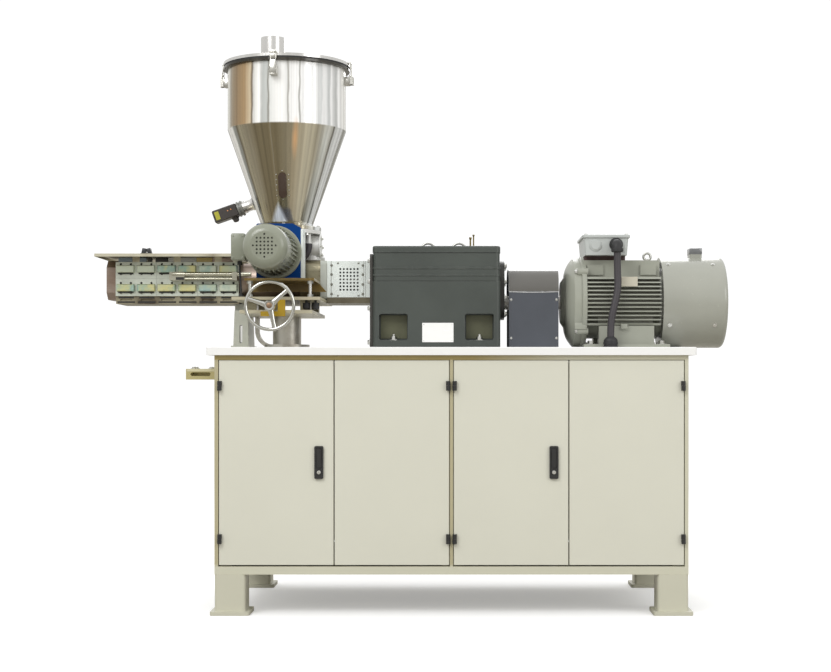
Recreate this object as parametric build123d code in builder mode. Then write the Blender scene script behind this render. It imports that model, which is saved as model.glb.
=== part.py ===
from build123d import *
import os
from math import atan2, cos, degrees, pi, radians, sin

os.makedirs("parts", exist_ok=True)

# Plastic extruder on a cabinet. Millimetres, X along the machine, -Y is the door side, +Z up.
# The row's origin is on the floor under the middle of the whole outline.

# Clearances and sheet sizes shared by many pieces
seat_gap = 0.3
sheet = 3
bend_radius = 4

# Reaches of the machine from the cabinet's middle and from the barrel's mid-plane
reach_left = 1195
reach_right = 934
reach_front = 490
reach_rear = 395
cab_x = (reach_left - reach_right) / 2
mid_y = (reach_front - reach_rear) / 2

# Cabinet
cabinet_length = 1530
cabinet_depth = 760
foot_size = 128
foot_thickness = 12
leg_size = 100
leg_wall = 5
leg_corner = 10
leg_height = 119
rail_width = 60
base_rail_height = 26
top_rail_height = 15
post_height = 667
post_width = 50
post_depth = 50
corner_strip = 12
centre_strip = 10
centre_post_width = 60
door_thickness = 20
door_rebate = 22
door_side_gap = 2
door_pair_gap = 3
door_bottom_gap = 5
door_top_gap = 2
side_panel_margin = 35
table_overhang_x = 25
table_overhang_y = 15
table_thickness = 26
table_corner = 8

half_l = cabinet_length / 2
half_d = cabinet_depth / 2
leg_z = foot_thickness
base_z = leg_z + leg_height
post_z = base_z + base_rail_height
top_rail_z = post_z + post_height
table_z = top_rail_z + top_rail_height
table_top = table_z + table_thickness
front_y = mid_y - half_d
rear_y = mid_y + half_d
leg_x = half_l - leg_size / 2
leg_y = half_d - leg_size / 2

with BuildPart() as legs:
    with BuildSketch():
        with Locations((cab_x, mid_y)):
            with GridLocations(2 * leg_x, 2 * leg_y, 2, 2):
                RectangleRounded(foot_size, foot_size, leg_corner)
    extrude(amount=foot_thickness)
    with BuildSketch(Plane.XY.offset(leg_z)):
        with Locations((cab_x, mid_y)):
            with GridLocations(2 * leg_x, 2 * leg_y, 2, 2):
                RectangleRounded(leg_size, leg_size, leg_corner)
                RectangleRounded(
                    leg_size - 2 * leg_wall,
                    leg_size - 2 * leg_wall,
                    leg_corner - leg_wall,
                    mode=Mode.SUBTRACT,
                )
    extrude(amount=leg_height)
legs.part.label = "legs"
export_step(legs.part, "parts/legs.step")

# Welded rings of rails: the lower one carries the floor sheet, the upper one the table
with BuildPart() as cabinet_frame:
    with BuildSketch(Plane.XY.offset(base_z)):
        with Locations((cab_x, mid_y)):
            Rectangle(cabinet_length, cabinet_depth)
            Rectangle(
                cabinet_length - 2 * rail_width,
                cabinet_depth - 2 * rail_width,
                mode=Mode.SUBTRACT,
            )
    extrude(amount=base_rail_height)
    with BuildSketch(Plane.XY.offset(post_z)):
        with Locations((cab_x, mid_y)):
            Rectangle(
                cabinet_length - 2 * seat_gap,
                cabinet_depth - 2 * post_depth - 2 * seat_gap,
            )
    extrude(amount=sheet)
    with BuildSketch(Plane.XY.offset(top_rail_z)):
        with Locations((cab_x, mid_y)):
            Rectangle(cabinet_length, cabinet_depth)
            Rectangle(
                cabinet_length - 2 * post_width,
                cabinet_depth - 2 * post_depth,
                mode=Mode.SUBTRACT,
            )
    extrude(amount=top_rail_height)
cabinet_frame.part.label = "cabinet_frame"
export_step(cabinet_frame.part, "parts/cabinet_frame.step")

# Stepped posts: a narrow strip beside the doors, and a wider bar behind them
post_shapes = []
for side in (-1, 1):
    for end in (-1, 1):
        x_out = cab_x + end * half_l
        y_out = mid_y + side * half_d
        post_shapes.append(
            [
                (x_out, y_out),
                (x_out - end * corner_strip, y_out),
                (x_out - end * corner_strip, y_out - side * door_rebate),
                (x_out - end * post_width, y_out - side * door_rebate),
                (x_out - end * post_width, y_out - side * post_depth),
                (x_out, y_out - side * post_depth),
            ]
        )

with BuildPart() as posts:
    with BuildSketch(Plane.XY.offset(post_z)):
        for outline in post_shapes:
            with BuildLine():
                Polyline(*outline, close=True)
            make_face()
        for side in (-1, 1):
            with Locations((cab_x, mid_y + side * (half_d - door_rebate / 2))):
                Rectangle(centre_strip, door_rebate)
            with Locations((cab_x, mid_y + side * (half_d - (door_rebate + post_depth) / 2))):
                Rectangle(centre_post_width, post_depth - door_rebate)
    extrude(amount=post_height)
posts.part.label = "posts"
export_step(posts.part, "parts/posts.step")

with BuildPart() as tabletop:
    with BuildSketch(Plane.XY.offset(table_z)):
        with Locations((cab_x, mid_y)):
            RectangleRounded(
                cabinet_length + 2 * table_overhang_x,
                cabinet_depth + 2 * table_overhang_y,
                table_corner,
            )
    extrude(amount=table_thickness)
    chamfer(tabletop.faces().sort_by(Axis.Z)[-1].edges(), length=2)
tabletop.part.label = "tabletop"
export_step(tabletop.part, "parts/tabletop.step")

# Doors: folded pans in the openings between the strips
opening_width = half_l - corner_strip - centre_strip / 2
door_width = (opening_width - 2 * door_side_gap - door_pair_gap) / 2
door_z = post_z + door_bottom_gap
door_height = post_height - door_bottom_gap - door_top_gap
door_wall = 2
door_left_edges = [
    cab_x - half_l + corner_strip + door_side_gap,
    cab_x - centre_strip / 2 - door_side_gap - door_width,
    cab_x + centre_strip / 2 + door_side_gap,
    cab_x + half_l - corner_strip - door_side_gap - door_width,
]

# Fixed panels: plain pans across the back, flat sheets on both ends
with BuildPart() as cabinet_panels:
    with BuildSketch(Plane.XY.offset(door_z)):
        for edge in door_left_edges:
            with Locations((edge + door_width / 2, rear_y - door_rebate / 2)):
                Rectangle(door_width, door_rebate)
    extrude(amount=door_height)
    offset(
        amount=-door_wall,
        openings=cabinet_panels.faces().filter_by(Axis.Y).group_by(Axis.Y)[0],
    )
    with BuildSketch(Plane.XY.offset(door_z)):
        with Locations((cab_x, mid_y)):
            with GridLocations(cabinet_length + sheet, 0, 2, 1):
                Rectangle(sheet, cabinet_depth - 2 * side_panel_margin)
    extrude(amount=door_height)
cabinet_panels.part.label = "cabinet_panels"
export_step(cabinet_panels.part, "parts/cabinet_panels.step")

# Lift-off hinges: the fixed half carries the pin, the door's half drops over it
pin_inset = 3.5
pin_stand_off = 8
knuckle_radius = 7
knuckle_height = 15.2
knuckle_gap = 0.6
hinge_pin_radius = 2.5
hinge_pin_length = 11
running_gap = 0.05
leaf_inner = 4
leaf_outer = 7.5
hinge_drop = 82
hinge_rise = 84
hinge_heights = [door_z + hinge_rise, door_z + door_height - hinge_drop]
hinge_y = front_y - pin_stand_off
# +1 where the door runs to +X from its hinge, -1 where it runs to -X
door_turns = [1, -1, 1, -1]
hinge_x = [
    edge + pin_inset if turn > 0 else edge + door_width - pin_inset
    for edge, turn in zip(door_left_edges, door_turns)
]

# Swing-handle locks on the two doors that close last
locked_doors = (0, 2)
lock_width = 29
lock_height = 106
lock_depth = 8
lock_corner = 5
lock_rise = 331
lock_z = door_z + lock_rise
lock_edge_distance = 47
handle_width = 15
handle_length = 62
handle_rise = 14
handle_recess = 5
handle_gap = 2
key_radius = 6.5
key_drop = 32
key_slot = 1.5
lock_face = Plane.XZ.offset(lock_depth - front_y)

with BuildPart() as hinge_posts:
    for x, turn in zip(hinge_x, door_turns):
        for z in hinge_heights:
            low = z - knuckle_gap / 2 - knuckle_height
            with BuildSketch(Plane.XY.offset(low)):
                with Locations((x, hinge_y)):
                    Circle(knuckle_radius)
                leaf_x = x - turn * (leaf_inner + leaf_outer) / 2
                with Locations((leaf_x, hinge_y + pin_stand_off / 2)):
                    Rectangle(leaf_outer - leaf_inner, pin_stand_off)
            extrude(amount=knuckle_height)
            with BuildSketch(Plane.XY.offset(low + knuckle_height)):
                with Locations((x, hinge_y)):
                    Circle(hinge_pin_radius)
            extrude(amount=hinge_pin_length)
hinge_posts.part.label = "hinge_posts"
export_step(hinge_posts.part, "parts/hinge_posts.step")

for number in range(4):
    left = door_left_edges[number]
    with BuildPart() as door:
        with BuildSketch(Plane.XY.offset(door_z)):
            with Locations((left + door_width / 2, front_y + door_thickness / 2)):
                Rectangle(door_width, door_thickness)
        extrude(amount=door_height)
        fillet(
            door.edges().filter_by(Axis.Z).group_by(Axis.Y)[0],
            radius=bend_radius,
        )
        offset(amount=-door_wall, openings=door.faces().sort_by(Axis.Y)[-1])
    door.part.label = f"door_{number + 1}"
    export_step(door.part, f"parts/door_{number + 1}.step")

    with BuildPart() as fittings:
        for z in hinge_heights:
            bottom = z + knuckle_gap / 2
            with BuildSketch(Plane.XY.offset(bottom)):
                with Locations((hinge_x[number], hinge_y)):
                    Circle(knuckle_radius)
                with Locations(
                    (
                        hinge_x[number] + door_turns[number] * knuckle_radius / 2,
                        hinge_y + pin_stand_off / 2,
                    )
                ):
                    Rectangle(knuckle_radius, pin_stand_off)
            extrude(amount=knuckle_height)
            with BuildSketch(Plane.XY.offset(bottom)):
                with Locations((hinge_x[number], hinge_y)):
                    Circle(hinge_pin_radius + running_gap)
            extrude(amount=hinge_pin_length + knuckle_gap, mode=Mode.SUBTRACT)
        if number in locked_doors:
            lock_x = left + door_width - lock_edge_distance
            handle_z = lock_z + handle_rise
            with BuildSketch(lock_face):
                with Locations((lock_x, lock_z)):
                    RectangleRounded(lock_width, lock_height, lock_corner)
            extrude(amount=-lock_depth)
            with BuildSketch(lock_face):
                with Locations((lock_x, handle_z)):
                    RectangleRounded(
                        handle_width + 2 * handle_gap,
                        handle_length + 2 * handle_gap,
                        lock_corner - 1,
                    )
                with Locations((lock_x, lock_z - key_drop)):
                    Circle(key_radius + handle_gap)
            extrude(amount=-handle_recess, mode=Mode.SUBTRACT)
            with BuildSketch(lock_face.offset(-handle_recess)):
                with Locations((lock_x, handle_z)):
                    RectangleRounded(handle_width, handle_length, lock_corner - 2)
                with Locations((lock_x, lock_z - key_drop)):
                    Circle(key_radius)
                    Rectangle(key_slot, key_radius + 2, mode=Mode.SUBTRACT)
            extrude(amount=handle_recess + 1)
    fittings.part.label = f"door_{number + 1}_fittings"
    export_step(fittings.part, f"parts/door_{number + 1}_fittings.step")

# Shelf bracket on the left side panel
bracket_reach = 95
bracket_height = 35
bracket_width = 120
bracket_wall = 4
bracket_z = 760
bracket_y = front_y + side_panel_margin + bracket_width / 2
panel_face_x = cab_x - half_l - sheet
with BuildPart() as side_bracket:
    with BuildSketch(Plane.XY.offset(bracket_z)):
        with Locations((panel_face_x - bracket_reach / 2, bracket_y)):
            Rectangle(bracket_reach, bracket_width)
    extrude(amount=bracket_height)
    offset(
        amount=-bracket_wall,
        openings=side_bracket.faces().sort_by(Axis.Z)[0],
    )
    with BuildSketch(Plane.XZ.offset(-(bracket_y - bracket_width / 2))):
        with Locations((panel_face_x - bracket_reach / 2, bracket_z + bracket_height / 2)):
            SlotOverall(bracket_reach - 30, 12)
    extrude(amount=-bracket_wall, mode=Mode.SUBTRACT)
side_bracket.part.label = "side_bracket"
export_step(side_bracket.part, "parts/side_bracket.step")

# Barrel line: axis over the table, and the places along it from the cabinet's middle
barrel_rise = 235
barrel_z = table_top + barrel_rise
hopper_x = cab_x - 573

# Gearbox
gearbox_left = cab_x - 267
gearbox_length = 430
gearbox_depth = 350
gearbox_lower_height = 225
gearbox_upper_height = 97
gearbox_cover_height = 22
gearbox_corner = 14
pocket_width = 97
pocket_height = 89
pocket_depth = 45
pocket_side = 22
pocket_rise = 27
gearbox_x = gearbox_left + gearbox_length / 2
gearbox_split = table_top + gearbox_lower_height
cover_z = gearbox_split + gearbox_upper_height
gearbox_top = cover_z + gearbox_cover_height

with BuildPart() as gearbox_lower:
    with BuildSketch(Plane.XY.offset(table_top)):
        with Locations((gearbox_x, mid_y)):
            RectangleRounded(gearbox_length, gearbox_depth, gearbox_corner)
    extrude(amount=gearbox_lower_height)
    pocket_spacing = gearbox_length - 2 * pocket_side - pocket_width
    for side in (-1, 1):
        with BuildSketch(Plane.XZ.offset(-mid_y - side * gearbox_depth / 2)):
            with Locations((gearbox_x, table_top + pocket_rise + pocket_height / 2)):
                with GridLocations(pocket_spacing, 0, 2, 1):
                    RectangleRounded(pocket_width, pocket_height, 8)
        extrude(amount=side * pocket_depth, mode=Mode.SUBTRACT)
gearbox_lower.part.label = "gearbox_lower"
export_step(gearbox_lower.part, "parts/gearbox_lower.step")

rib_height = 6
housing_inset = 2
rib_heights = [gearbox_split + 18, gearbox_split + 42]
with BuildPart() as gearbox_upper:
    with BuildSketch(Plane.XY.offset(gearbox_split)):
        with Locations((gearbox_x, mid_y)):
            RectangleRounded(
                gearbox_length - 2 * housing_inset,
                gearbox_depth - 2 * housing_inset,
                gearbox_corner,
            )
    extrude(amount=gearbox_upper_height)
    for z in rib_heights:
        with BuildSketch(Plane.XY.offset(z)):
            with Locations((gearbox_x, mid_y)):
                RectangleRounded(gearbox_length, gearbox_depth, gearbox_corner)
        extrude(amount=rib_height)
    with BuildSketch(Plane.XY.offset(cover_z)):
        with Locations((gearbox_x, mid_y)):
            RectangleRounded(gearbox_length, gearbox_depth, gearbox_corner)
    extrude(amount=gearbox_cover_height)
    fillet(gearbox_upper.faces().sort_by(Axis.Z)[-1].edges(), radius=6)
gearbox_upper.part.label = "gearbox_upper"
export_step(gearbox_upper.part, "parts/gearbox_upper.step")

# End covers: a flat plate at the barrel end, a stepped bearing cover at the motor end
end_plate_thickness = 9
end_plate_depth = 330
end_plate_height = 318
shaft_rise = 160
shaft_z = table_top + shaft_rise
gearbox_right = gearbox_left + gearbox_length
bearing_cover_width = 200
bearing_cover_height = 202
bearing_cover_corner = 70
bearing_cover_rise = 42
bearing_cover_thickness = 16
input_shaft_radius = 24
with BuildPart() as gearbox_end_covers:
    with BuildSketch(Plane.YZ.offset(gearbox_left - end_plate_thickness)):
        with Locations((mid_y, table_top + end_plate_height / 2)):
            RectangleRounded(end_plate_depth, end_plate_height, 10)
    extrude(amount=end_plate_thickness)
    with BuildSketch(Plane.YZ.offset(gearbox_right)):
        with Locations((mid_y, shaft_z + bearing_cover_rise)):
            RectangleRounded(bearing_cover_width, bearing_cover_height, bearing_cover_corner)
        with Locations((mid_y, shaft_z)):
            Circle(input_shaft_radius + seat_gap, mode=Mode.SUBTRACT)
    extrude(amount=bearing_cover_thickness)
gearbox_end_covers.part.label = "gearbox_end_covers"
export_step(gearbox_end_covers.part, "parts/gearbox_end_covers.step")

# Coupling and its arched sheet guard
guard_end_gap = 30
guard_left = gearbox_right + guard_end_gap
guard_length = 168
guard_half_width = 130
guard_height = 272
guard_corner = 73
motor_gap = 13
motor_left = guard_left + guard_length + motor_gap
with BuildPart() as coupling_guard:
    with BuildSketch(Plane.YZ.offset(guard_left)):
        with BuildLine():
            guard_line = Polyline(
                (mid_y - guard_half_width, table_top),
                (mid_y - guard_half_width, table_top + guard_height),
                (mid_y + guard_half_width, table_top + guard_height),
                (mid_y + guard_half_width, table_top),
                close=True,
            )
        make_face()
    extrude(amount=guard_length)
    fillet(
        coupling_guard.edges().filter_by(Axis.X).group_by(Axis.Z)[-1],
        radius=guard_corner,
    )
    offset(
        amount=-sheet,
        openings=[
            coupling_guard.faces().sort_by(Axis.X)[0],
            coupling_guard.faces().sort_by(Axis.X)[-1],
            coupling_guard.faces().sort_by(Axis.Z)[0],
        ],
    )
coupling_guard.part.label = "coupling_guard"
export_step(coupling_guard.part, "parts/coupling_guard.step")

coupling_radius = 85
hub_radius = 45
hub_length = 60
coupling_disc = 25
shaft_end = gearbox_right + seat_gap
coupling_middle = (gearbox_right + bearing_cover_thickness + motor_left) / 2

# Main motor: end shield, finned frame, fan cowl
shield_length = 75
frame_length = 258
cowl_length = 219
motor_radius = 156
frame_core = 124
fin_count = 12
fin_pitch = 14
fin_thickness = 4.5
cowl_wall = 3
frame_left = motor_left + shield_length
cowl_neck = 8
cowl_left = frame_left + frame_length + cowl_neck
motor_mid = frame_left + frame_length / 2
with BuildPart() as motor_end_shield:
    with BuildSketch(Plane.XZ.offset(-mid_y)):
        with BuildLine():
            shield_nose = Polyline(
                (motor_left + 42, shaft_z + motor_radius - 3),
                (frame_left, shaft_z + motor_radius - 3),
                (frame_left, shaft_z),
                (motor_left, shaft_z),
                (motor_left, shaft_z + 70),
                (motor_left + 12, shaft_z + 88),
            )
            ThreePointArc(
                (motor_left + 12, shaft_z + 88),
                (motor_left + 22, shaft_z + 126),
                (motor_left + 42, shaft_z + motor_radius - 3),
            )
        make_face()
    revolve(axis=Axis((motor_left, mid_y, shaft_z), (1, 0, 0)))
motor_end_shield.part.label = "motor_end_shield"
export_step(motor_end_shield.part, "parts/motor_end_shield.step")

# Cast frame: a core with level fins on both sides, a head block and feet
head_half_width = 95
head_rise = 141
head_top = shaft_z + head_rise
foot_pad_height = 14
foot_half_gap = 127
foot_pad_width = 64
foot_overhang = 16
foot_shift = 12
foot_hole_inset = 25
foot_block_length = frame_length - 72
foot_block_depth = 50
foot_block_height = 62
foot_web_offset = 102
foot_web_depth = 26
foot_web_drop = 40
foot_bolt_hole = 7.5
foot_x = motor_mid + foot_shift
foot_pad_length = frame_length + 2 * foot_overhang
head_pad_length = 54
head_pad_height = 34
head_pad_depth = 8
head_pad_drop = 33
head_pad_spread = frame_length - 78
with BuildPart() as motor_frame:
    with BuildSketch(Plane.YZ.offset(frame_left)):
        with Locations((mid_y, shaft_z)):
            Circle(motor_radius)
            Rectangle(
                2 * motor_radius,
                fin_count * fin_pitch - fin_thickness,
                mode=Mode.INTERSECT,
            )
        with Locations((mid_y, shaft_z)):
            with GridLocations(0, fin_pitch, 1, fin_count - 1):
                Rectangle(2 * motor_radius, fin_pitch - fin_thickness, mode=Mode.SUBTRACT)
            Circle(frame_core)
        with Locations((mid_y, shaft_z + head_rise / 2 + 20)):
            Rectangle(2 * head_half_width, head_rise - 40)
    extrude(amount=frame_length)
    with BuildSketch(Plane.XY.offset(table_top)):
        with Locations((foot_x, mid_y)):
            with GridLocations(0, 2 * foot_half_gap, 1, 2):
                Rectangle(foot_pad_length, foot_pad_width)
    extrude(amount=foot_pad_height)
    with BuildSketch(Plane.XY.offset(table_top + foot_pad_height)):
        with Locations((foot_x, mid_y)):
            with GridLocations(0, 2 * foot_half_gap - 14, 1, 2):
                Rectangle(foot_block_length, foot_block_depth)
    extrude(amount=foot_block_height)
    with BuildSketch(Plane.XY.offset(table_top + foot_pad_height)):
        with Locations((foot_x, mid_y)):
            with GridLocations(0, 2 * foot_web_offset, 1, 2):
                Rectangle(foot_block_length, foot_web_depth)
    extrude(amount=shaft_z - foot_web_drop - table_top - foot_pad_height)
    with BuildSketch(Plane.XZ.offset(-mid_y)):
        with Locations((motor_mid, head_top - head_pad_drop)):
            with GridLocations(head_pad_spread, 0, 2, 1):
                Rectangle(head_pad_length, head_pad_height)
    extrude(amount=head_half_width + head_pad_depth, both=True)
    with BuildSketch(Plane.XY.offset(table_top)):
        with Locations((foot_x, mid_y)):
            with GridLocations(foot_pad_length - 2 * foot_hole_inset, 2 * foot_half_gap, 2, 2):
                Circle(foot_bolt_hole)
    extrude(amount=foot_pad_height, mode=Mode.SUBTRACT)
motor_frame.part.label = "motor_frame"
export_step(motor_frame.part, "parts/motor_frame.step")

grille_radius = 118
slot_width = 7
cowl_box_x = cowl_left + 126
cowl_box_length = 42
cowl_box_width = 60
cowl_box_height = 31
cowl_box_sink = 8
with BuildPart() as fan_cowl:
    with BuildSketch(Plane.YZ.offset(frame_left + frame_length + seat_gap)):
        with Locations((mid_y, shaft_z)):
            Circle(frame_core - 4)
    extrude(amount=cowl_neck - seat_gap)
    with BuildSketch(Plane.YZ.offset(cowl_left)):
        with Locations((mid_y, shaft_z)):
            Circle(motor_radius)
    extrude(amount=cowl_length)
    fillet(fan_cowl.faces().sort_by(Axis.X)[-1].edges(), radius=14)
    with BuildSketch(Plane.YZ.offset(cowl_left + cowl_length)):
        with Locations((mid_y, shaft_z)):
            for ring in (44, 62, 80, 98, 116):
                Circle(ring + slot_width / 2)
                Circle(ring - slot_width / 2, mode=Mode.SUBTRACT)
            with PolarLocations(0, 4):
                Rectangle(2 * grille_radius + 20, 12, mode=Mode.SUBTRACT)
    extrude(amount=-10, mode=Mode.SUBTRACT)
    with BuildSketch(Plane.XY.offset(shaft_z + motor_radius - cowl_box_sink)):
        with Locations((cowl_box_x, mid_y)):
            RectangleRounded(cowl_box_length, cowl_box_width, 5)
    extrude(amount=cowl_box_height + cowl_box_sink)
    fillet(fan_cowl.faces().sort_by(Axis.Z)[-1].edges(), radius=3)
fan_cowl.part.label = "fan_cowl"
export_step(fan_cowl.part, "parts/fan_cowl.step")

# Terminal box on the motor's head block
gasket_height = 15
terminal_width = 152
terminal_height = 69
terminal_front = 135
terminal_depth = 240
terminal_x = motor_mid - 56
terminal_lid = 10
terminal_lip = 5
terminal_y = mid_y - terminal_front + terminal_depth / 2
with BuildPart() as terminal_gasket:
    with BuildSketch(Plane.XY.offset(head_top)):
        with Locations((terminal_x, terminal_y + 20)):
            RectangleRounded(terminal_width - 12, terminal_depth - 60, 8)
    extrude(amount=gasket_height)
terminal_gasket.part.label = "terminal_gasket"
export_step(terminal_gasket.part, "parts/terminal_gasket.step")

terminal_z = head_top + gasket_height
with BuildPart() as terminal_box:
    with BuildSketch(Plane.XY.offset(terminal_z)):
        with Locations((terminal_x, terminal_y)):
            RectangleRounded(terminal_width - 10, terminal_depth, 10)
    with BuildSketch(Plane.XY.offset(terminal_z + terminal_height - terminal_lid)):
        with Locations((terminal_x, terminal_y)):
            RectangleRounded(terminal_width, terminal_depth, 10)
    loft()
    with BuildSketch(Plane.XY.offset(terminal_z + terminal_height - terminal_lid)):
        with Locations((terminal_x, terminal_y)):
            RectangleRounded(
                terminal_width + 2 * terminal_lip,
                terminal_depth + 2 * terminal_lip,
                12,
            )
    extrude(amount=terminal_lid)
    fillet(terminal_box.faces().sort_by(Axis.Z)[-1].edges(), radius=4)
terminal_box.part.label = "terminal_box"
export_step(terminal_box.part, "parts/terminal_box.step")

# Lifting points: a ring bolt on the motor, two low loops on the gearbox cover
eye_ring_radius = 12
eye_bar = 4.5
eye_collar_radius = 13
eye_collar_height = 5
eye_x = motor_mid + 98
eye_z = head_top + eye_ring_radius + eye_bar + 2.5
loop_x = [gearbox_x - 32, gearbox_x + 75.5]
loop_radius = 26
loop_bar = 4
loop_sink = 4
with BuildPart() as lifting_eyes:
    for x in loop_x:
        with BuildSketch(Plane.YZ.offset(x)):
            with Locations((mid_y, gearbox_top - loop_sink + loop_radius)):
                Circle(loop_bar)
        revolve(axis=Axis((x, mid_y, gearbox_top - loop_sink), (0, 1, 0)))
    split(bisect_by=Plane.XY.offset(gearbox_top), keep=Keep.TOP)
    with BuildSketch(Plane.XY.offset(head_top)):
        with Locations((eye_x, mid_y)):
            Circle(eye_collar_radius)
    extrude(amount=eye_collar_height)
    with BuildSketch(Plane.YZ.offset(eye_x)):
        with Locations((mid_y, eye_z + eye_ring_radius)):
            Circle(eye_bar)
    revolve(axis=Axis((eye_x, mid_y, eye_z), (0, 1, 0)))
lifting_eyes.part.label = "lifting_eyes"
export_step(lifting_eyes.part, "parts/lifting_eyes.step")

# Motor cable: down from an elbow on the box to a fitting on the table
cable_radius = 12
fitting_radius = 25
fitting_height = 38
elbow_x = motor_mid - 23
elbow_z = head_top + 50
elbow_reach = 45
elbow_drop = 28
elbow_radius = 17
elbow_nut_radius = 20
box_front = mid_y - terminal_front
cable_y = box_front - elbow_reach
fitting_x = elbow_x - 23
fitting_y = cable_y - 9
with BuildPart() as cable_fittings:
    with BuildSketch(Plane.XZ.offset(-box_front)):
        with Locations((elbow_x, elbow_z)):
            Circle(elbow_nut_radius)
    extrude(amount=12)
    with BuildSketch(Plane.XZ.offset(-box_front + 12)):
        with Locations((elbow_x, elbow_z)):
            Circle(elbow_radius)
    extrude(amount=elbow_reach - 12)
    with Locations((elbow_x, cable_y, elbow_z)):
        Sphere(elbow_radius)
    with BuildSketch(Plane.XY.offset(elbow_z)):
        with Locations((elbow_x, cable_y)):
            Circle(elbow_radius)
    extrude(amount=-elbow_drop)
    with BuildSketch(Plane.XY.offset(elbow_z - elbow_drop)):
        with Locations((elbow_x, cable_y)):
            RegularPolygon(elbow_nut_radius, 6, major_radius=False)
    extrude(amount=10)
    with BuildSketch(Plane.XY.offset(table_top)):
        with Locations((fitting_x, fitting_y)):
            Circle(fitting_radius)
    extrude(amount=fitting_height)
    fillet(cable_fittings.edges().filter_by(GeomType.CIRCLE).group_by(Axis.Z)[1], radius=10)
cable_fittings.part.label = "cable_fittings"
export_step(cable_fittings.part, "parts/cable_fittings.step")

cable_start_z = elbow_z - elbow_drop
fitting_top = table_top + fitting_height
cable_route = [
    (elbow_x, cable_y, cable_start_z),
    (elbow_x, cable_y, cable_start_z - 60),
    (elbow_x + 3, cable_y - 4, cable_start_z - 124),
    (elbow_x - 12, cable_y - 9, cable_start_z - 186),
    (fitting_x, fitting_y, fitting_top + 48),
    (fitting_x, fitting_y, fitting_top),
]


def corner_radii(route):
    """Each corner's arc: 0.45 of its shorter run over the tangent of half the turn."""
    radii = []
    for before, corner, after in zip(route, route[1:], route[2:]):
        run_in = Vector(*corner) - Vector(*before)
        run_out = Vector(*after) - Vector(*corner)
        half_turn = radians(run_in.get_angle(run_out)) / 2
        radii.append(0.45 * min(run_in.length, run_out.length) * cos(half_turn) / sin(half_turn))
    return radii


def cable_solid(route, radius):
    """A round cable along the route: straight runs joined by tangent arcs."""
    radii = corner_radii(route)
    print("cable radii", [round(r) for r in radii])
    with BuildPart(mode=Mode.PRIVATE) as cable:
        with BuildLine() as path:
            FilletPolyline(*route, radius=radii)
        wire = path.wires()[0]
        with BuildSketch(Plane(origin=wire @ 0, z_dir=wire % 0)):
            Circle(radius)
        sweep(path=wire)
    section = pi * radius**2
    print("cable length", round(wire.length), "fill", cable.part.volume / (section * wire.length))
    return cable.part


motor_cable = cable_solid(cable_route, cable_radius)
motor_cable.label = "motor_cable"
export_step(motor_cable, "parts/motor_cable.step")

# Barrel: end flange, heated zones, feed section, throat block, rear flange
flange_left = cab_x - 1183
flange_thickness = 36
flange_half_width = 72
flange_half_height = 67
flange_chamfer = 24
zone_count = 3
zone_length = 140
zone_gap = 0.6
core_half_width = 62
core_half_height = 42
feed_half_width = 75
feed_half_height = 60
throat_right = cab_x - 449
throat_length = 71
throat_half_width = 90
rear_flange_thickness = 22
screw_bore_radius = 24
screw_spacing = 38
zones_left = flange_left + flange_thickness
zones_right = zones_left + zone_count * zone_length
throat_left = throat_right - throat_length

flange_bolt_circle = 112
flange_bolt_radius = 6.5
flange_bolt_count = 8
with BuildPart() as barrel:
    with BuildSketch(Plane.YZ.offset(flange_left)) as flange_outline:
        with Locations((mid_y, barrel_z)):
            Rectangle(2 * flange_half_width, 2 * flange_half_height)
        chamfer(flange_outline.vertices(), length=flange_chamfer)
        with Locations((mid_y, barrel_z)):
            with GridLocations(screw_spacing, 0, 2, 1):
                Circle(screw_bore_radius, mode=Mode.SUBTRACT)
            with PolarLocations(flange_bolt_circle / 2, flange_bolt_count, 22.5):
                Circle(flange_bolt_radius, mode=Mode.SUBTRACT)
    extrude(amount=flange_thickness)
    with BuildSketch(Plane.YZ.offset(zones_left)):
        with Locations((mid_y, barrel_z)):
            SlotOverall(2 * core_half_width, 2 * core_half_height)
    extrude(amount=zones_right - zones_left)
    with BuildSketch(Plane.YZ.offset(zones_right)):
        with Locations((mid_y, barrel_z)):
            SlotOverall(2 * feed_half_width, 2 * feed_half_height)
    extrude(amount=throat_left - zones_right)
barrel.part.label = "barrel"
export_step(barrel.part, "parts/barrel.step")

# Heater shells: cast halves clamped over the core, one pair a zone
heater_half_width = 95
heater_top = 60
heater_split = 4
heater_bottom = 56
heater_lower_height = heater_bottom + heater_split - seat_gap
with BuildPart() as heaters:
    for zone in range(zone_count):
        with BuildSketch(Plane.YZ.offset(zones_left + zone * zone_length + zone_gap / 2)):
            with Locations((mid_y, barrel_z + (heater_top + heater_split) / 2)):
                Rectangle(2 * heater_half_width, heater_top - heater_split)
            with Locations((mid_y, barrel_z)):
                SlotOverall(
                    2 * core_half_width + 2 * seat_gap,
                    2 * core_half_height + 2 * seat_gap,
                    mode=Mode.SUBTRACT,
                )
        extrude(amount=zone_length - zone_gap)
        with BuildSketch(Plane.YZ.offset(zones_left + zone * zone_length + zone_gap / 2)):
            with Locations((mid_y, barrel_z + heater_split - seat_gap - heater_lower_height / 2)):
                Rectangle(2 * heater_half_width, heater_lower_height)
            with Locations((mid_y, barrel_z)):
                SlotOverall(
                    2 * core_half_width + 2 * seat_gap,
                    2 * core_half_height + 2 * seat_gap,
                    mode=Mode.SUBTRACT,
                )
        extrude(amount=zone_length - zone_gap)
heaters.part.label = "heaters"
export_step(heaters.part, "parts/heaters.step")

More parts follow.
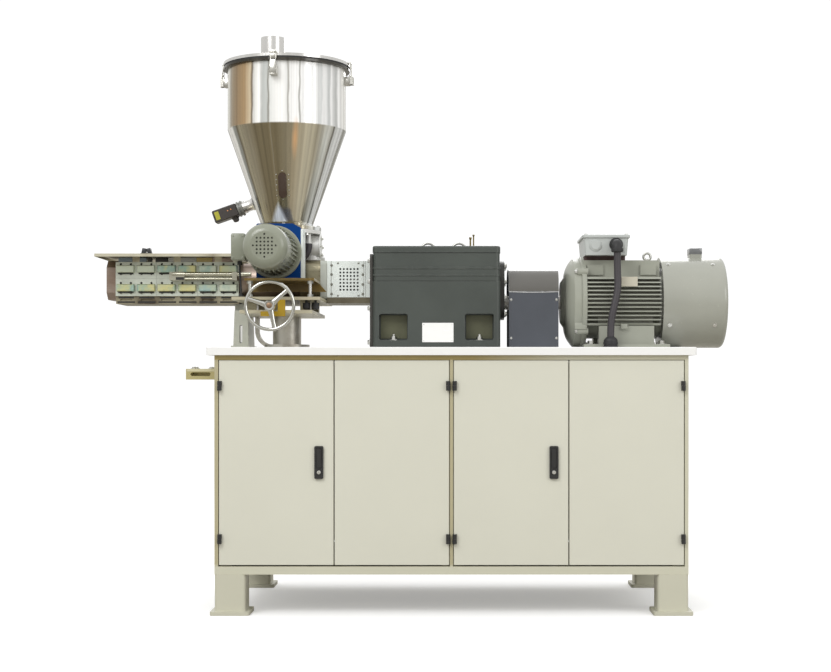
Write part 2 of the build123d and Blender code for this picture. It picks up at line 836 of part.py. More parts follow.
# Clamp blocks in two rows on both faces of the heaters
clamp_length = 61
clamp_height = 24
clamp_depth = 12
clamp_rows = [barrel_z + 36, barrel_z - 28]
with BuildPart() as clamp_blocks:
    for side in (-1, 1):
        with BuildSketch(Plane.XZ.offset(-mid_y - side * heater_half_width)):
            for row in clamp_rows:
                for zone in range(zone_count):
                    with Locations((zones_left + (zone + 0.5) * zone_length, row)):
                        with GridLocations(zone_length / 2, 0, 2, 1):
                            Rectangle(clamp_length, clamp_height)
        extrude(amount=-side * clamp_depth)
    chamfer(
        clamp_blocks.faces().filter_by(Axis.Y).group_by(Axis.Y)[0].edges(),
        length=2,
    )
    chamfer(
        clamp_blocks.faces().filter_by(Axis.Y).group_by(Axis.Y)[-1].edges(),
        length=2,
    )
clamp_blocks.part.label = "clamp_blocks"
export_step(clamp_blocks.part, "parts/clamp_blocks.step")

# Slotted air duct under the heaters
duct_half_width = 88
duct_height = 26
duct_z = barrel_z - heater_bottom - duct_height
with BuildPart() as air_duct:
    with BuildSketch(Plane.YZ.offset(zones_left)):
        with Locations((mid_y, duct_z + duct_height / 2)):
            Rectangle(2 * duct_half_width, duct_height)
    extrude(amount=zones_right - zones_left)
    for side in (-1, 1):
        with BuildSketch(Plane.XZ.offset(-mid_y - side * duct_half_width)):
            with Locations(((zones_left + zones_right) / 2, duct_z + duct_height / 2)):
                with GridLocations(zone_length / 2, 0, 2 * zone_count, 1):
                    SlotOverall(42, 7)
        extrude(amount=side * 6, mode=Mode.SUBTRACT)
air_duct.part.label = "air_duct"
export_step(air_duct.part, "parts/air_duct.step")

# Top cover over the heaters, on cross bars
cover_left = cab_x - reach_left
cover_length = 473
cover_half_width = 200
cover_lip = 10
cover_rise = 81
cover_sheet = 2
cover_bar_width = 24
with BuildPart() as barrel_cover:
    with BuildSketch(Plane.XY.offset(barrel_z + cover_rise - cover_lip)):
        with Locations((cover_left + cover_length / 2, mid_y)):
            Rectangle(cover_length, 2 * cover_half_width)
    extrude(amount=cover_lip)
    offset(amount=-cover_sheet, openings=barrel_cover.faces().sort_by(Axis.Z)[0])
    with BuildSketch(Plane.XY.offset(barrel_z + heater_top)):
        for zone in range(zone_count):
            with Locations((zones_left + (zone + 0.5) * zone_length, mid_y)):
                Rectangle(cover_bar_width, 2 * heater_half_width)
    extrude(amount=cover_rise - cover_sheet - heater_top)
barrel_cover.part.label = "barrel_cover"
export_step(barrel_cover.part, "parts/barrel_cover.step")

# Oil pipes along the front of the heaters
pipe_y = mid_y - heater_half_width - clamp_depth - 20
upper_pipe_radius = 7.5
lower_pipe_radius = 5
upper_pipe_z = barrel_z + 16
lower_pipe_z = barrel_z + 1
pipe_left = cab_x - 956
pipe_right = cab_x - 680
pipe_block_length = 51
pipe_block_height = 28.5
pipe_block_z = barrel_z + 9.25
pipe_block_front = pipe_y - 10
end_block_length = 16
with BuildPart() as oil_pipes:
    with BuildSketch(Plane.YZ.offset(pipe_left)):
        with Locations((pipe_y, upper_pipe_z)):
            Circle(upper_pipe_radius)
    extrude(amount=pipe_right - pipe_left)
    with BuildSketch(Plane.YZ.offset(pipe_left + pipe_block_length)):
        with Locations((pipe_y, lower_pipe_z)):
            Circle(lower_pipe_radius)
    extrude(amount=zones_right - end_block_length - pipe_left - pipe_block_length)
    with BuildSketch(Plane.XZ.offset(-pipe_block_front)):
        with Locations((pipe_left + pipe_block_length / 2, pipe_block_z)):
            Rectangle(pipe_block_length, pipe_block_height)
        with Locations((zones_right - zone_gap - end_block_length / 2, pipe_block_z)):
            Rectangle(end_block_length, pipe_block_height)
    extrude(amount=pipe_block_front - mid_y + heater_half_width)
oil_pipes.part.label = "oil_pipes"
export_step(oil_pipes.part, "parts/oil_pipes.step")

# Feed throat with a rounded top, its rear flange and the guard to the gearbox
throat_top = 70
throat_bottom = 65
with BuildPart() as feed_throat:
    with BuildSketch(Plane.YZ.offset(throat_left)) as throat_outline:
        with Locations((mid_y, barrel_z + (throat_top - throat_bottom) / 2)):
            Rectangle(2 * throat_half_width, throat_top + throat_bottom)
        fillet(throat_outline.vertices().group_by(Axis.Z)[-1], radius=40)
    extrude(amount=throat_length)
    with BuildSketch(Plane.XY.offset(barrel_z + throat_top)):
        with Locations((throat_left + throat_length / 2, mid_y)):
            Circle(26)
    extrude(amount=-60, mode=Mode.SUBTRACT)
    with BuildSketch(Plane.YZ.offset(throat_right)):
        with Locations((mid_y, barrel_z)):
            RectangleRounded(2 * throat_half_width + 10, 2 * throat_bottom, 12)
    extrude(amount=rear_flange_thickness)
feed_throat.part.label = "feed_throat"
export_step(feed_throat.part, "parts/feed_throat.step")

guard_face_half = 92
guard_top = 64
guard_bottom = 60
guard_x = throat_right + rear_flange_thickness
guard_right = gearbox_left - end_plate_thickness
hole_pitch = 11.8
hole_radius = 3.4
with BuildPart() as perforated_guard:
    with BuildSketch(Plane.YZ.offset(guard_x)):
        with Locations((mid_y, barrel_z + (guard_top - guard_bottom) / 2)):
            Rectangle(2 * guard_face_half, guard_top + guard_bottom)
    extrude(amount=guard_right - guard_x)
    offset(
        amount=-sheet,
        openings=[
            perforated_guard.faces().sort_by(Axis.X)[0],
            perforated_guard.faces().sort_by(Axis.X)[-1],
            perforated_guard.faces().sort_by(Axis.Z)[0],
        ],
    )
    with BuildSketch(Plane.XZ.offset(-mid_y + guard_face_half + 1)):
        with Locations(((guard_x + guard_right) / 2, barrel_z + 1)):
            with GridLocations(hole_pitch, hole_pitch, 6, 7):
                Circle(hole_radius)
    extrude(amount=-2 * sheet, mode=Mode.SUBTRACT)
perforated_guard.part.label = "perforated_guard"
export_step(perforated_guard.part, "parts/perforated_guard.step")

# Turned shafts: the pair behind the perforated guard and the main coupling
with BuildPart() as shafts:
    with BuildSketch(Plane.YZ.offset(guard_x + seat_gap)):
        with Locations((mid_y, barrel_z)):
            with GridLocations(screw_spacing + 20, 0, 2, 1):
                Circle(22)
    extrude(amount=guard_right - guard_x - 2 * seat_gap)
    with BuildSketch(Plane.XZ.offset(-mid_y)):
        with BuildLine():
            Polyline(
                (shaft_end, shaft_z),
                (shaft_end, shaft_z + input_shaft_radius),
                (coupling_middle - hub_length, shaft_z + input_shaft_radius),
                (coupling_middle - hub_length, shaft_z + hub_radius),
                (coupling_middle - coupling_disc, shaft_z + hub_radius),
                (coupling_middle - coupling_disc, shaft_z + coupling_radius),
                (coupling_middle + coupling_disc, shaft_z + coupling_radius),
                (coupling_middle + coupling_disc, shaft_z + hub_radius),
                (coupling_middle + hub_length, shaft_z + hub_radius),
                (coupling_middle + hub_length, shaft_z + input_shaft_radius),
                (motor_left - seat_gap, shaft_z + input_shaft_radius),
                (motor_left - seat_gap, shaft_z),
                close=True,
            )
        make_face()
    revolve(axis=Axis((gearbox_right, mid_y, shaft_z), (1, 0, 0)))
shafts.part.label = "shafts"
export_step(shafts.part, "parts/shafts.step")

# Bar that carries the perforated guard
base_bar_height = 20
with BuildPart() as guard_base:
    with BuildSketch(Plane.XY.offset(barrel_z - guard_bottom - base_bar_height)):
        with Locations(((guard_x + guard_right) / 2, mid_y)):
            Rectangle(guard_right - guard_x, 2 * guard_face_half)
    extrude(amount=base_bar_height)
guard_base.part.label = "guard_base"
export_step(guard_base.part, "parts/guard_base.step")

# Pedestal, slide plates and spacers under the feeder
pedestal_radius = 49
pedestal_flange_radius = 78
pedestal_flange_thickness = 15
gusset_radius = 60
gusset_band = 13
gusset_width = 30
gusset_x = hopper_x - pedestal_radius
gusset_z = table_top + gusset_radius + 3
slide_front = mid_y - 330
slide_rear = mid_y + 150
slide_depth = slide_rear - slide_front
slide_y = (slide_front + slide_rear) / 2
lower_plate_z = table_top + 111
lower_plate_thickness = 11
lower_plate_length = 238
upper_plate_length = 290
upper_plate_thickness = 10
slide_space = 33
lower_plate_top = lower_plate_z + lower_plate_thickness
upper_plate_z = lower_plate_top + slide_space
upper_plate_top = upper_plate_z + upper_plate_thickness
with BuildPart() as pedestal:
    with BuildSketch(Plane.XY.offset(table_top)):
        with Locations((hopper_x, mid_y)):
            Circle(pedestal_flange_radius)
            with PolarLocations(pedestal_flange_radius - 14, 6, 30):
                Circle(5.5, mode=Mode.SUBTRACT)
    extrude(amount=pedestal_flange_thickness)
    with BuildSketch(Plane.XY.offset(table_top + pedestal_flange_thickness)):
        with Locations((hopper_x, mid_y)):
            Circle(pedestal_radius)
    extrude(amount=lower_plate_z - table_top - pedestal_flange_thickness)
    with BuildSketch(Plane.XZ.offset(-mid_y)):
        with Locations((gusset_x, gusset_z)):
            Circle(gusset_radius)
            Circle(gusset_radius - gusset_band, mode=Mode.SUBTRACT)
            with Locations((-gusset_radius / 2, -gusset_radius / 2)):
                Rectangle(gusset_radius, gusset_radius, mode=Mode.INTERSECT)
        with Locations((gusset_x - gusset_radius + gusset_band / 2, (gusset_z + lower_plate_z) / 2)):
            Rectangle(gusset_band, lower_plate_z - gusset_z)
    extrude(amount=gusset_width / 2, both=True)
pedestal.part.label = "pedestal"
export_step(pedestal.part, "parts/pedestal.step")

with BuildPart() as slide_plates:
    with BuildSketch(Plane.XY.offset(lower_plate_z)):
        with Locations((hopper_x, slide_y)):
            Rectangle(lower_plate_length, slide_depth)
    extrude(amount=lower_plate_thickness)
    with BuildSketch(Plane.XY.offset(upper_plate_z)):
        with Locations((hopper_x, slide_y)):
            Rectangle(upper_plate_length, slide_depth)
    extrude(amount=upper_plate_thickness)
    fillet(slide_plates.edges().filter_by(Axis.Z), radius=6)
slide_plates.part.label = "slide_plates"
export_step(slide_plates.part, "parts/slide_plates.step")

# Blocks between and on the plates; the front one bears the handwheel's shaft
spacer_size = 34
bearing_size = 44
wheel_z = lower_plate_top + 11
wheel_x = cab_x - 584
wheel_shaft_radius = 6
bearing_length = 30
bearing_front = slide_front + 8
with BuildPart() as plate_blocks:
    with BuildSketch(Plane.XY.offset(lower_plate_top)):
        with Locations((hopper_x, slide_y)):
            with GridLocations(lower_plate_length - 60, slide_depth - 180, 2, 2):
                Rectangle(spacer_size, spacer_size)
    extrude(amount=slide_space)
    with BuildSketch(Plane.XZ.offset(-bearing_front)):
        with Locations((wheel_x, lower_plate_top + slide_space / 2)):
            Rectangle(bearing_size, slide_space)
        with Locations((wheel_x, wheel_z)):
            Circle(wheel_shaft_radius + running_gap, mode=Mode.SUBTRACT)
    extrude(amount=-bearing_length)
    with BuildSketch(Plane.XY.offset(upper_plate_top)):
        with Locations((hopper_x, mid_y)):
            Rectangle(90, 60)
    extrude(amount=barrel_z - feed_half_height - upper_plate_top)
plate_blocks.part.label = "plate_blocks"
export_step(plate_blocks.part, "parts/plate_blocks.step")

# Flared stand under the heated end of the barrel
stand_x = cab_x - 722
stand_top_length = 46
stand_foot_length = 52
stand_plate_margin = 7
stand_half_width = 80
stand_top = duct_z - 22
with BuildPart() as barrel_stand:
    with BuildSketch(Plane.XY.offset(table_top)):
        with Locations((stand_x, mid_y)):
            RectangleRounded(stand_foot_length + 2 * stand_plate_margin, 2 * stand_half_width + 30, 6)
    extrude(amount=10)
    with BuildSketch(Plane.XY.offset(table_top + 10)):
        with Locations((stand_x, mid_y)):
            Rectangle(stand_foot_length, 2 * stand_half_width)
    with BuildSketch(Plane.XY.offset(stand_top)):
        with Locations((stand_x, mid_y)):
            Rectangle(stand_top_length, 2 * stand_half_width - 20)
    loft()
    with BuildSketch(Plane.XZ.offset(-mid_y)):
        with Locations((stand_x, table_top + 50)):
            SlotOverall(62, 10, rotation=90)
    extrude(amount=stand_half_width, both=True, mode=Mode.SUBTRACT)
    with BuildSketch(Plane.XY.offset(stand_top)):
        with Locations((stand_x - 3, mid_y)):
            Rectangle(40, 2 * stand_half_width - 40)
    extrude(amount=duct_z - stand_top)
barrel_stand.part.label = "barrel_stand"
export_step(barrel_stand.part, "parts/barrel_stand.step")

# Handwheel with its shaft, and the bracket beside it
wheel_y = mid_y - 400
wheel_radius = 82.5
wheel_bar = 5.5
wheel_hub_radius = 18
wheel_hub_length = 30
spoke_angles = [162, 42, -78]
spoke_root = (6, 9.5)
spoke_tip = (4, 6.5)
bracket_plate = 8
with BuildPart() as wheel_bracket:
    with BuildSketch(Plane.XZ.offset(-slide_front)):
        with Locations((wheel_x + 2.5, lower_plate_z - 2)):
            Rectangle(80, 16)
        with Locations((wheel_x + 30.5, lower_plate_z + 22)):
            Rectangle(24, 44)
    extrude(amount=bracket_plate)
wheel_bracket.part.label = "wheel_bracket"
export_step(wheel_bracket.part, "parts/wheel_bracket.step")

with BuildPart() as handwheel:
    with BuildSketch(Plane.YZ.offset(wheel_x)):
        with Locations((wheel_y, wheel_z + wheel_radius - wheel_bar)):
            Circle(wheel_bar)
    revolve(axis=Axis((wheel_x, wheel_y, wheel_z), (0, 1, 0)))
    with BuildSketch(Plane.XZ.offset(-(wheel_y - wheel_hub_length / 2))):
        with Locations((wheel_x, wheel_z)):
            Circle(wheel_hub_radius)
    extrude(amount=-wheel_hub_length)
    with BuildSketch(Plane.XZ.offset(-wheel_y)):
        with Locations((wheel_x, wheel_z)):
            Circle(wheel_shaft_radius)
    extrude(amount=-(bearing_front + bearing_length + 20 - wheel_y))
    for angle in spoke_angles:
        spoke_plane = Plane(
            origin=(wheel_x, wheel_y, wheel_z),
            x_dir=(0, 1, 0),
            z_dir=(cos(radians(angle)), 0, sin(radians(angle))),
        )
        with BuildSketch(spoke_plane.offset(wheel_hub_radius - 4)):
            Ellipse(*spoke_root)
        with BuildSketch(spoke_plane.offset(wheel_radius - 2 * wheel_bar + 2)):
            Ellipse(*spoke_tip)
        loft()
handwheel.part.label = "handwheel"
export_step(handwheel.part, "parts/handwheel.step")

# Feeder shelf in front of the barrel, with its brown apron, on two studs
shelf_z = barrel_z - 17
shelf_thickness = 8
shelf_left = hopper_x - 102.5
shelf_right = hopper_x + 125
shelf_length = shelf_right - shelf_left
shelf_rear = mid_y - 112
apron_height = 26
apron_thickness = 4
apron_slant = 22
with BuildPart() as feeder_shelf:
    with BuildSketch(Plane.XY.offset(shelf_z)):
        with Locations(((shelf_left + shelf_right) / 2, (slide_front + shelf_rear) / 2)):
            Rectangle(shelf_length, shelf_rear - slide_front)
    extrude(amount=shelf_thickness)
    with BuildSketch(Plane.XZ.offset(-shelf_rear)):
        with BuildLine():
            Polyline(
                (shelf_left, shelf_z),
                (shelf_right, shelf_z),
                (shelf_right + apron_slant, shelf_z - apron_height),
                (shelf_left, shelf_z - apron_height),
                close=True,
            )
        make_face()
    extrude(amount=apron_thickness)
feeder_shelf.part.label = "feeder_shelf"
export_step(feeder_shelf.part, "parts/feeder_shelf.step")

stud_inset = 15
stud_radius = 5
with BuildPart() as shelf_studs:
    for x in (shelf_left + stud_inset, shelf_right - stud_inset):
        with BuildSketch(Plane.XY.offset(upper_plate_top)):
            with Locations((x, slide_front + 26)):
                Circle(stud_radius)
        extrude(amount=shelf_z - upper_plate_top)
        with BuildSketch(Plane.XY.offset(upper_plate_top)):
            with Locations((x, slide_front + 26)):
                RegularPolygon(10, 6)
        extrude(amount=9)
        with BuildSketch(Plane.XY.offset(shelf_z - 9)):
            with Locations((x, slide_front + 26)):
                RegularPolygon(10, 6)
        extrude(amount=9)
shelf_studs.part.label = "shelf_studs"
export_step(shelf_studs.part, "parts/shelf_studs.step")

knob_x = [hopper_x + 96, hopper_x + 126]
with BuildPart() as clamp_knobs:
    for x in knob_x:
        with BuildSketch(Plane.XY.offset(upper_plate_z)):
            with Locations((x, slide_front + 40)):
                Circle(4)
        extrude(amount=-8)
        with BuildSketch(Plane.XY.offset(upper_plate_z - 8)):
            with Locations((x, slide_front + 40)):
                Circle(12)
        extrude(amount=-22)
    fillet(clamp_knobs.faces().sort_by(Axis.Z)[:2].edges(), radius=6)
clamp_knobs.part.label = "clamp_knobs"
export_step(clamp_knobs.part, "parts/clamp_knobs.step")

# Feeder drive on the shelf: worm gearbox, side plate and flange motor
worm_left = cab_x - 653
worm_length = 149
worm_height = 190
worm_front = mid_y - 205
worm_depth = 80
worm_slope_x = 27
worm_slope_z = 14
worm_z = shelf_z + shelf_thickness
with BuildPart() as worm_gearbox:
    with BuildSketch(Plane.XZ.offset(-worm_front)):
        with BuildLine():
            Polyline(
                (worm_left, worm_z),
                (worm_left + worm_length, worm_z),
                (worm_left + worm_length, worm_z + worm_height - worm_slope_z),
                (worm_left + worm_length - worm_slope_x, worm_z + worm_height),
                (worm_left, worm_z + worm_height),
                close=True,
            )
        make_face()
    extrude(amount=-worm_depth)
    fillet(worm_gearbox.edges().filter_by(Axis.Y), radius=6)
worm_gearbox.part.label = "worm_gearbox"
export_step(worm_gearbox.part, "parts/worm_gearbox.step")

worm_plate_thickness = 7
with BuildPart() as worm_side_plate:
    with BuildSketch(Plane.YZ.offset(worm_left + worm_length)):
        with Locations((worm_front + worm_depth / 2, worm_z + worm_height / 2 - 8)):
            RectangleRounded(worm_depth, worm_height - 20, 6)
    extrude(amount=worm_plate_thickness)
worm_side_plate.part.label = "worm_side_plate"
export_step(worm_side_plate.part, "parts/worm_side_plate.step")

feeder_axis_x = cab_x - 590
feeder_axis_z = worm_z + 93
feeder_flange_radius = 89
feeder_flange_thickness = 14
feeder_body_radius = 70
feeder_fin_reach = 8
feeder_fin_count = 32
feeder_body_length = 150
feeder_cowl_radius = 72
feeder_cap_radius = 45
feeder_cap_y = mid_y - reach_front
cowl_back = worm_front - feeder_flange_thickness - feeder_body_length
with BuildPart() as feeder_motor:
    with BuildSketch(Plane.XZ.offset(-worm_front)):
        with Locations((feeder_axis_x, feeder_axis_z)):
            Circle(feeder_flange_radius)
    extrude(amount=feeder_flange_thickness)
    chamfer(feeder_motor.faces().sort_by(Axis.Y)[0].edges(), length=3)
    with BuildSketch(Plane.XZ.offset(-(worm_front - feeder_flange_thickness))):
        with Locations((feeder_axis_x, feeder_axis_z)):
            Circle(feeder_body_radius)
            with PolarLocations(feeder_body_radius, feeder_fin_count):
                Rectangle(2 * feeder_fin_reach, 3)
    extrude(amount=feeder_body_length)
feeder_motor.part.label = "feeder_motor"
export_step(feeder_motor.part, "parts/feeder_motor.step")

with BuildPart() as feeder_cowl:
    with BuildSketch(Plane.YZ.offset(feeder_axis_x)):
        with BuildLine():
            Polyline(
                (feeder_cap_y + 34, feeder_axis_z + feeder_cowl_radius),
                (cowl_back, feeder_axis_z + feeder_cowl_radius),
                (cowl_back, feeder_axis_z),
                (feeder_cap_y, feeder_axis_z),
                (feeder_cap_y, feeder_axis_z + feeder_cap_radius),
            )
            ThreePointArc(
                (feeder_cap_y, feeder_axis_z + feeder_cap_radius),
                (feeder_cap_y + 9, feeder_axis_z + feeder_cowl_radius - 9),
                (feeder_cap_y + 34, feeder_axis_z + feeder_cowl_radius),
            )
        make_face()
    revolve(axis=Axis((feeder_axis_x, feeder_cap_y, feeder_axis_z), (0, 1, 0)))
    with BuildSketch(Plane.XZ.offset(-feeder_cap_y)):
        with Locations((feeder_axis_x, feeder_axis_z)):
            with GridLocations(12, 12, 5, 5):
                Circle(3.2)
            with GridLocations(0, 72, 1, 2):
                Circle(3.2)
            with GridLocations(72, 0, 2, 1):
                Circle(3.2)
    extrude(amount=-10, mode=Mode.SUBTRACT)
feeder_cowl.part.label = "feeder_cowl"
export_step(feeder_cowl.part, "parts/feeder_cowl.step")

feeder_box_width = 46
feeder_box_height = 88
feeder_box_depth = 82
feeder_box_right = feeder_axis_x - feeder_body_radius - feeder_fin_reach - seat_gap
feeder_box_z = feeder_axis_z + 6
feeder_box_front = mid_y - 365
with BuildPart() as feeder_terminal_box:
    with BuildSketch(Plane.XZ.offset(-feeder_box_front)):
        with Locations((feeder_box_right - feeder_box_width / 2, feeder_box_z)):
            RectangleRounded(feeder_box_width, feeder_box_height, 6)
    extrude(amount=-feeder_box_depth)
    fillet(feeder_terminal_box.faces().sort_by(Axis.Y)[0].edges(), radius=3)
feeder_terminal_box.part.label = "feeder_terminal_box"
export_step(feeder_terminal_box.part, "parts/feeder_terminal_box.step")

# Feeder cable: from a gland under the box down to a bush on the upper slide plate
feeder_cable_radius = 3.2
gland_radius = 7
gland_height = 12
bush_radius = 8
bush_height = 8
gland_x = feeder_box_right - feeder_box_width / 2
gland_y = feeder_box_front + feeder_box_depth / 2
box_underside = feeder_box_z - feeder_box_height / 2
bush_x = gland_x + 4
bush_y = gland_y + 4
with BuildPart() as feeder_cable_ends:
    with BuildSketch(Plane.XY.offset(box_underside)):
        with Locations((gland_x, gland_y)):
            RegularPolygon(gland_radius, 6, major_radius=False)
    extrude(amount=-gland_height)
    with BuildSketch(Plane.XY.offset(upper_plate_top)):
        with Locations((bush_x, bush_y)):
            Circle(bush_radius)
    extrude(amount=bush_height)
    chamfer(feeder_cable_ends.edges().filter_by(GeomType.CIRCLE).sort_by(Axis.Z)[1], length=3)
feeder_cable_ends.part.label = "feeder_cable_ends"
export_step(feeder_cable_ends.part, "parts/feeder_cable_ends.step")

feeder_cable_top = box_underside - gland_height
feeder_cable_end = upper_plate_top + bush_height
feeder_cable_route = [
    (gland_x, gland_y, feeder_cable_top),
    (gland_x, gland_y, feeder_cable_top - 30),
    (bush_x, bush_y, feeder_cable_end + 30),
    (bush_x, bush_y, feeder_cable_end),
]
feeder_cable = cable_solid(feeder_cable_route, feeder_cable_radius)
feeder_cable.label = "feeder_cable"
export_step(feeder_cable, "parts/feeder_cable.step")

# Dosing housing under the hopper, and its spout into the throat
ring_z = 1261
ring_thickness = 12
ring_radius = 118
neck_radius = 62
trough_radius = 40
trough_z = throat_top + barrel_z + 50
spout_x = throat_left + throat_length / 2
spout_radius = 25
with BuildPart() as dosing_housing:
    with BuildSketch(Plane.XY.offset(trough_z)):
        with Locations((hopper_x, mid_y)):
            Circle(neck_radius)
    extrude(amount=ring_z - trough_z)
    with BuildSketch(Plane.XY.offset(ring_z)):
        with Locations((hopper_x, mid_y)):
            Circle(ring_radius)
    extrude(amount=ring_thickness)
    with BuildSketch(Plane.YZ.offset(hopper_x - neck_radius)):
        with Locations((mid_y, trough_z)):
            Circle(trough_radius)
    extrude(amount=spout_x + spout_radius - hopper_x + neck_radius)
    with BuildSketch(Plane.XY.offset(barrel_z + throat_top - 20)):
        with Locations((spout_x, mid_y)):
            Circle(spout_radius)
    extrude(amount=trough_z - barrel_z - throat_top + 20)
    with BuildSketch(Plane.XZ.offset(-(worm_front + worm_depth))):
        with Locations((hopper_x, trough_z)):
            Circle(32)
    extrude(amount=-(mid_y - trough_radius / 2 - worm_front - worm_depth))
dosing_housing.part.label = "dosing_housing"
export_step(dosing_housing.part, "parts/dosing_housing.step")

# Hopper: cone, cylinder, lid with inlet pipe
hopper_radius = 204
hopper_wall = 3
hopper_base_z = ring_z + ring_thickness
hopper_outlet_radius = 87
cone_low = 1297
cone_high = 1620
hopper_rim_z = 1835
rim_width = 13
rim_thickness = 8
with BuildPart() as hopper_shell:
    with BuildSketch(Plane.XZ.offset(-mid_y)):
        with BuildLine():
            Polyline(
                (hopper_x + hopper_outlet_radius, hopper_base_z),
                (hopper_x + ring_radius, hopper_base_z),
                (hopper_x + ring_radius, hopper_base_z + ring_thickness),
                (hopper_x + hopper_outlet_radius + hopper_wall, hopper_base_z + ring_thickness),
                (hopper_x + hopper_outlet_radius + hopper_wall, cone_low),
                (hopper_x + hopper_radius, cone_high),
                (hopper_x + hopper_radius, hopper_rim_z - rim_thickness),
                (hopper_x + hopper_radius + rim_width, hopper_rim_z - rim_thickness),
                (hopper_x + hopper_radius + rim_width, hopper_rim_z),
                (hopper_x + hopper_radius - hopper_wall, hopper_rim_z),
                (hopper_x + hopper_radius - hopper_wall, cone_high),
                (hopper_x + hopper_outlet_radius, cone_low),
                close=True,
            )
        make_face()
    revolve(axis=Axis((hopper_x, mid_y, 0), (0, 0, 1)))
hopper_shell.part.label = "hopper_shell"
export_step(hopper_shell.part, "parts/hopper_shell.step")

gasket_thickness = 5
with BuildPart() as lid_gasket:
    with BuildSketch(Plane.XY.offset(hopper_rim_z)):
        with Locations((hopper_x, mid_y)):
            Circle(hopper_radius + rim_width - 1)
            Circle(hopper_radius - hopper_wall, mode=Mode.SUBTRACT)
    extrude(amount=gasket_thickness)
lid_gasket.part.label = "lid_gasket"
export_step(lid_gasket.part, "parts/lid_gasket.step")

lid_z = hopper_rim_z + gasket_thickness
lid_radius = hopper_radius + rim_width + 1
lid_rim = 10
lid_rise = 34
inlet_x = hopper_x - 49
inlet_radius = 41.5
inlet_wall = 2
inlet_height = 103
dome_radius = (hopper_radius**2 + (lid_rise - lid_rim) ** 2) / (2 * (lid_rise - lid_rim))
with BuildPart() as hopper_lid:
    with BuildSketch(Plane.XZ.offset(-mid_y)):
        with BuildLine():
            Polyline(
                (hopper_x, lid_z + lid_rise),
                (hopper_x, lid_z),
                (hopper_x + lid_radius, lid_z),
                (hopper_x + lid_radius, lid_z + lid_rim),
                (hopper_x + hopper_radius, lid_z + lid_rim),
            )
            RadiusArc((hopper_x, lid_z + lid_rise), (hopper_x + hopper_radius, lid_z + lid_rim), dome_radius)
        make_face()
    revolve(axis=Axis((hopper_x, mid_y, 0), (0, 0, 1)))
    with BuildSketch(Plane.XY.offset(lid_z)):
        with Locations((inlet_x, mid_y)):
            Circle(inlet_radius)
    extrude(amount=lid_rise + 1, mode=Mode.SUBTRACT)
    with BuildSketch(Plane.XY.offset(lid_z)):
        with Locations((inlet_x, mid_y)):
            Circle(inlet_radius)
            Circle(inlet_radius - inlet_wall, mode=Mode.SUBTRACT)
    extrude(amount=inlet_height)
hopper_lid.part.label = "hopper_lid"
export_step(hopper_lid.part, "parts/hopper_lid.step")

# Toggle latches round the rim
latch_count = 4
latch_turn = -5.5
latch_width = 26
latch_depth = 16
latch_foot = 30
latch_drop = 60
hook_inner = lid_radius - 6
hook_thickness = 7
latch_inner = lid_radius + 1
hook_z = lid_z + lid_rim
with BuildPart() as lid_latches:
    with BuildSketch(Plane.XY.offset(hopper_rim_z - latch_drop)):
        with Locations((hopper_x, mid_y)):
            with PolarLocations(latch_inner + latch_depth / 2, latch_count, latch_turn):
                Rectangle(latch_depth, latch_width)
    extrude(amount=hook_z + hook_thickness - hopper_rim_z + latch_drop)
    with BuildSketch(Plane.XY.offset(hopper_rim_z - latch_drop)):
        with Locations((hopper_x, mid_y)):
            with PolarLocations((hopper_radius + seat_gap + latch_inner) / 2 + 1, latch_count, latch_turn):
                Rectangle(latch_inner - hopper_radius - seat_gap, latch_width)
    extrude(amount=latch_foot)
    with BuildSketch(Plane.XY.offset(hook_z)):
        with Locations((hopper_x, mid_y)):
            with PolarLocations((hook_inner + latch_inner + 4) / 2, latch_count, latch_turn):
                Rectangle(latch_inner + 4 - hook_inner, latch_width)
    extrude(amount=hook_thickness)
lid_latches.part.label = "lid_latches"
export_step(lid_latches.part, "parts/lid_latches.step")

# Oval sight window on the front of the cone
window_drop = 0.625
window_z = cone_low + (cone_high - cone_low) * (1 - window_drop)
cone_tilt = degrees(atan2(hopper_radius - hopper_outlet_radius - hopper_wall, cone_high - cone_low))
window_radius = hopper_outlet_radius + hopper_wall
window_radius += (1 - window_drop) * (hopper_radius - window_radius)
window_plane = Plane(
    origin=(hopper_x, mid_y - window_radius, window_z),
    x_dir=(1, 0, 0),
    z_dir=(0, -cos(radians(cone_tilt)), -sin(radians(cone_tilt))),
)
with BuildPart() as sight_window:
    with BuildSketch(window_plane.offset(seat_gap)):
        SlotOverall(87, 28, rotation=90)
    extrude(amount=6)
sight_window.part.label = "sight_window"
export_step(sight_window.part, "parts/sight_window.step")

# Level probe square to the left of the cone
probe_rise = 71
probe_radius = hopper_outlet_radius + hopper_wall
probe_radius += probe_rise * (hopper_radius - probe_radius) / (cone_high - cone_low)
with BuildPart() as level_probe:
    probe_axis = Plane(
        origin=(hopper_x - probe_radius, mid_y, cone_low + probe_rise),
        x_dir=(0, 1, 0),
        z_dir=(-cos(radians(cone_tilt)), 0, -sin(radians(cone_tilt))),
    )
    with BuildSketch(probe_axis.offset(seat_gap)):
        Circle(20)
    extrude(amount=44)
    with BuildSketch(probe_axis.offset(40)):
        Circle(27)
    extrude(amount=18)
    with BuildSketch(probe_axis.offset(58)):
        RectangleRounded(50, 44, 6)
    extrude(amount=88)
level_probe.part.label = "level_probe"
export_step(level_probe.part, "parts/level_probe.step")
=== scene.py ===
import math

import bmesh
import bpy
from mathutils import Matrix, Vector


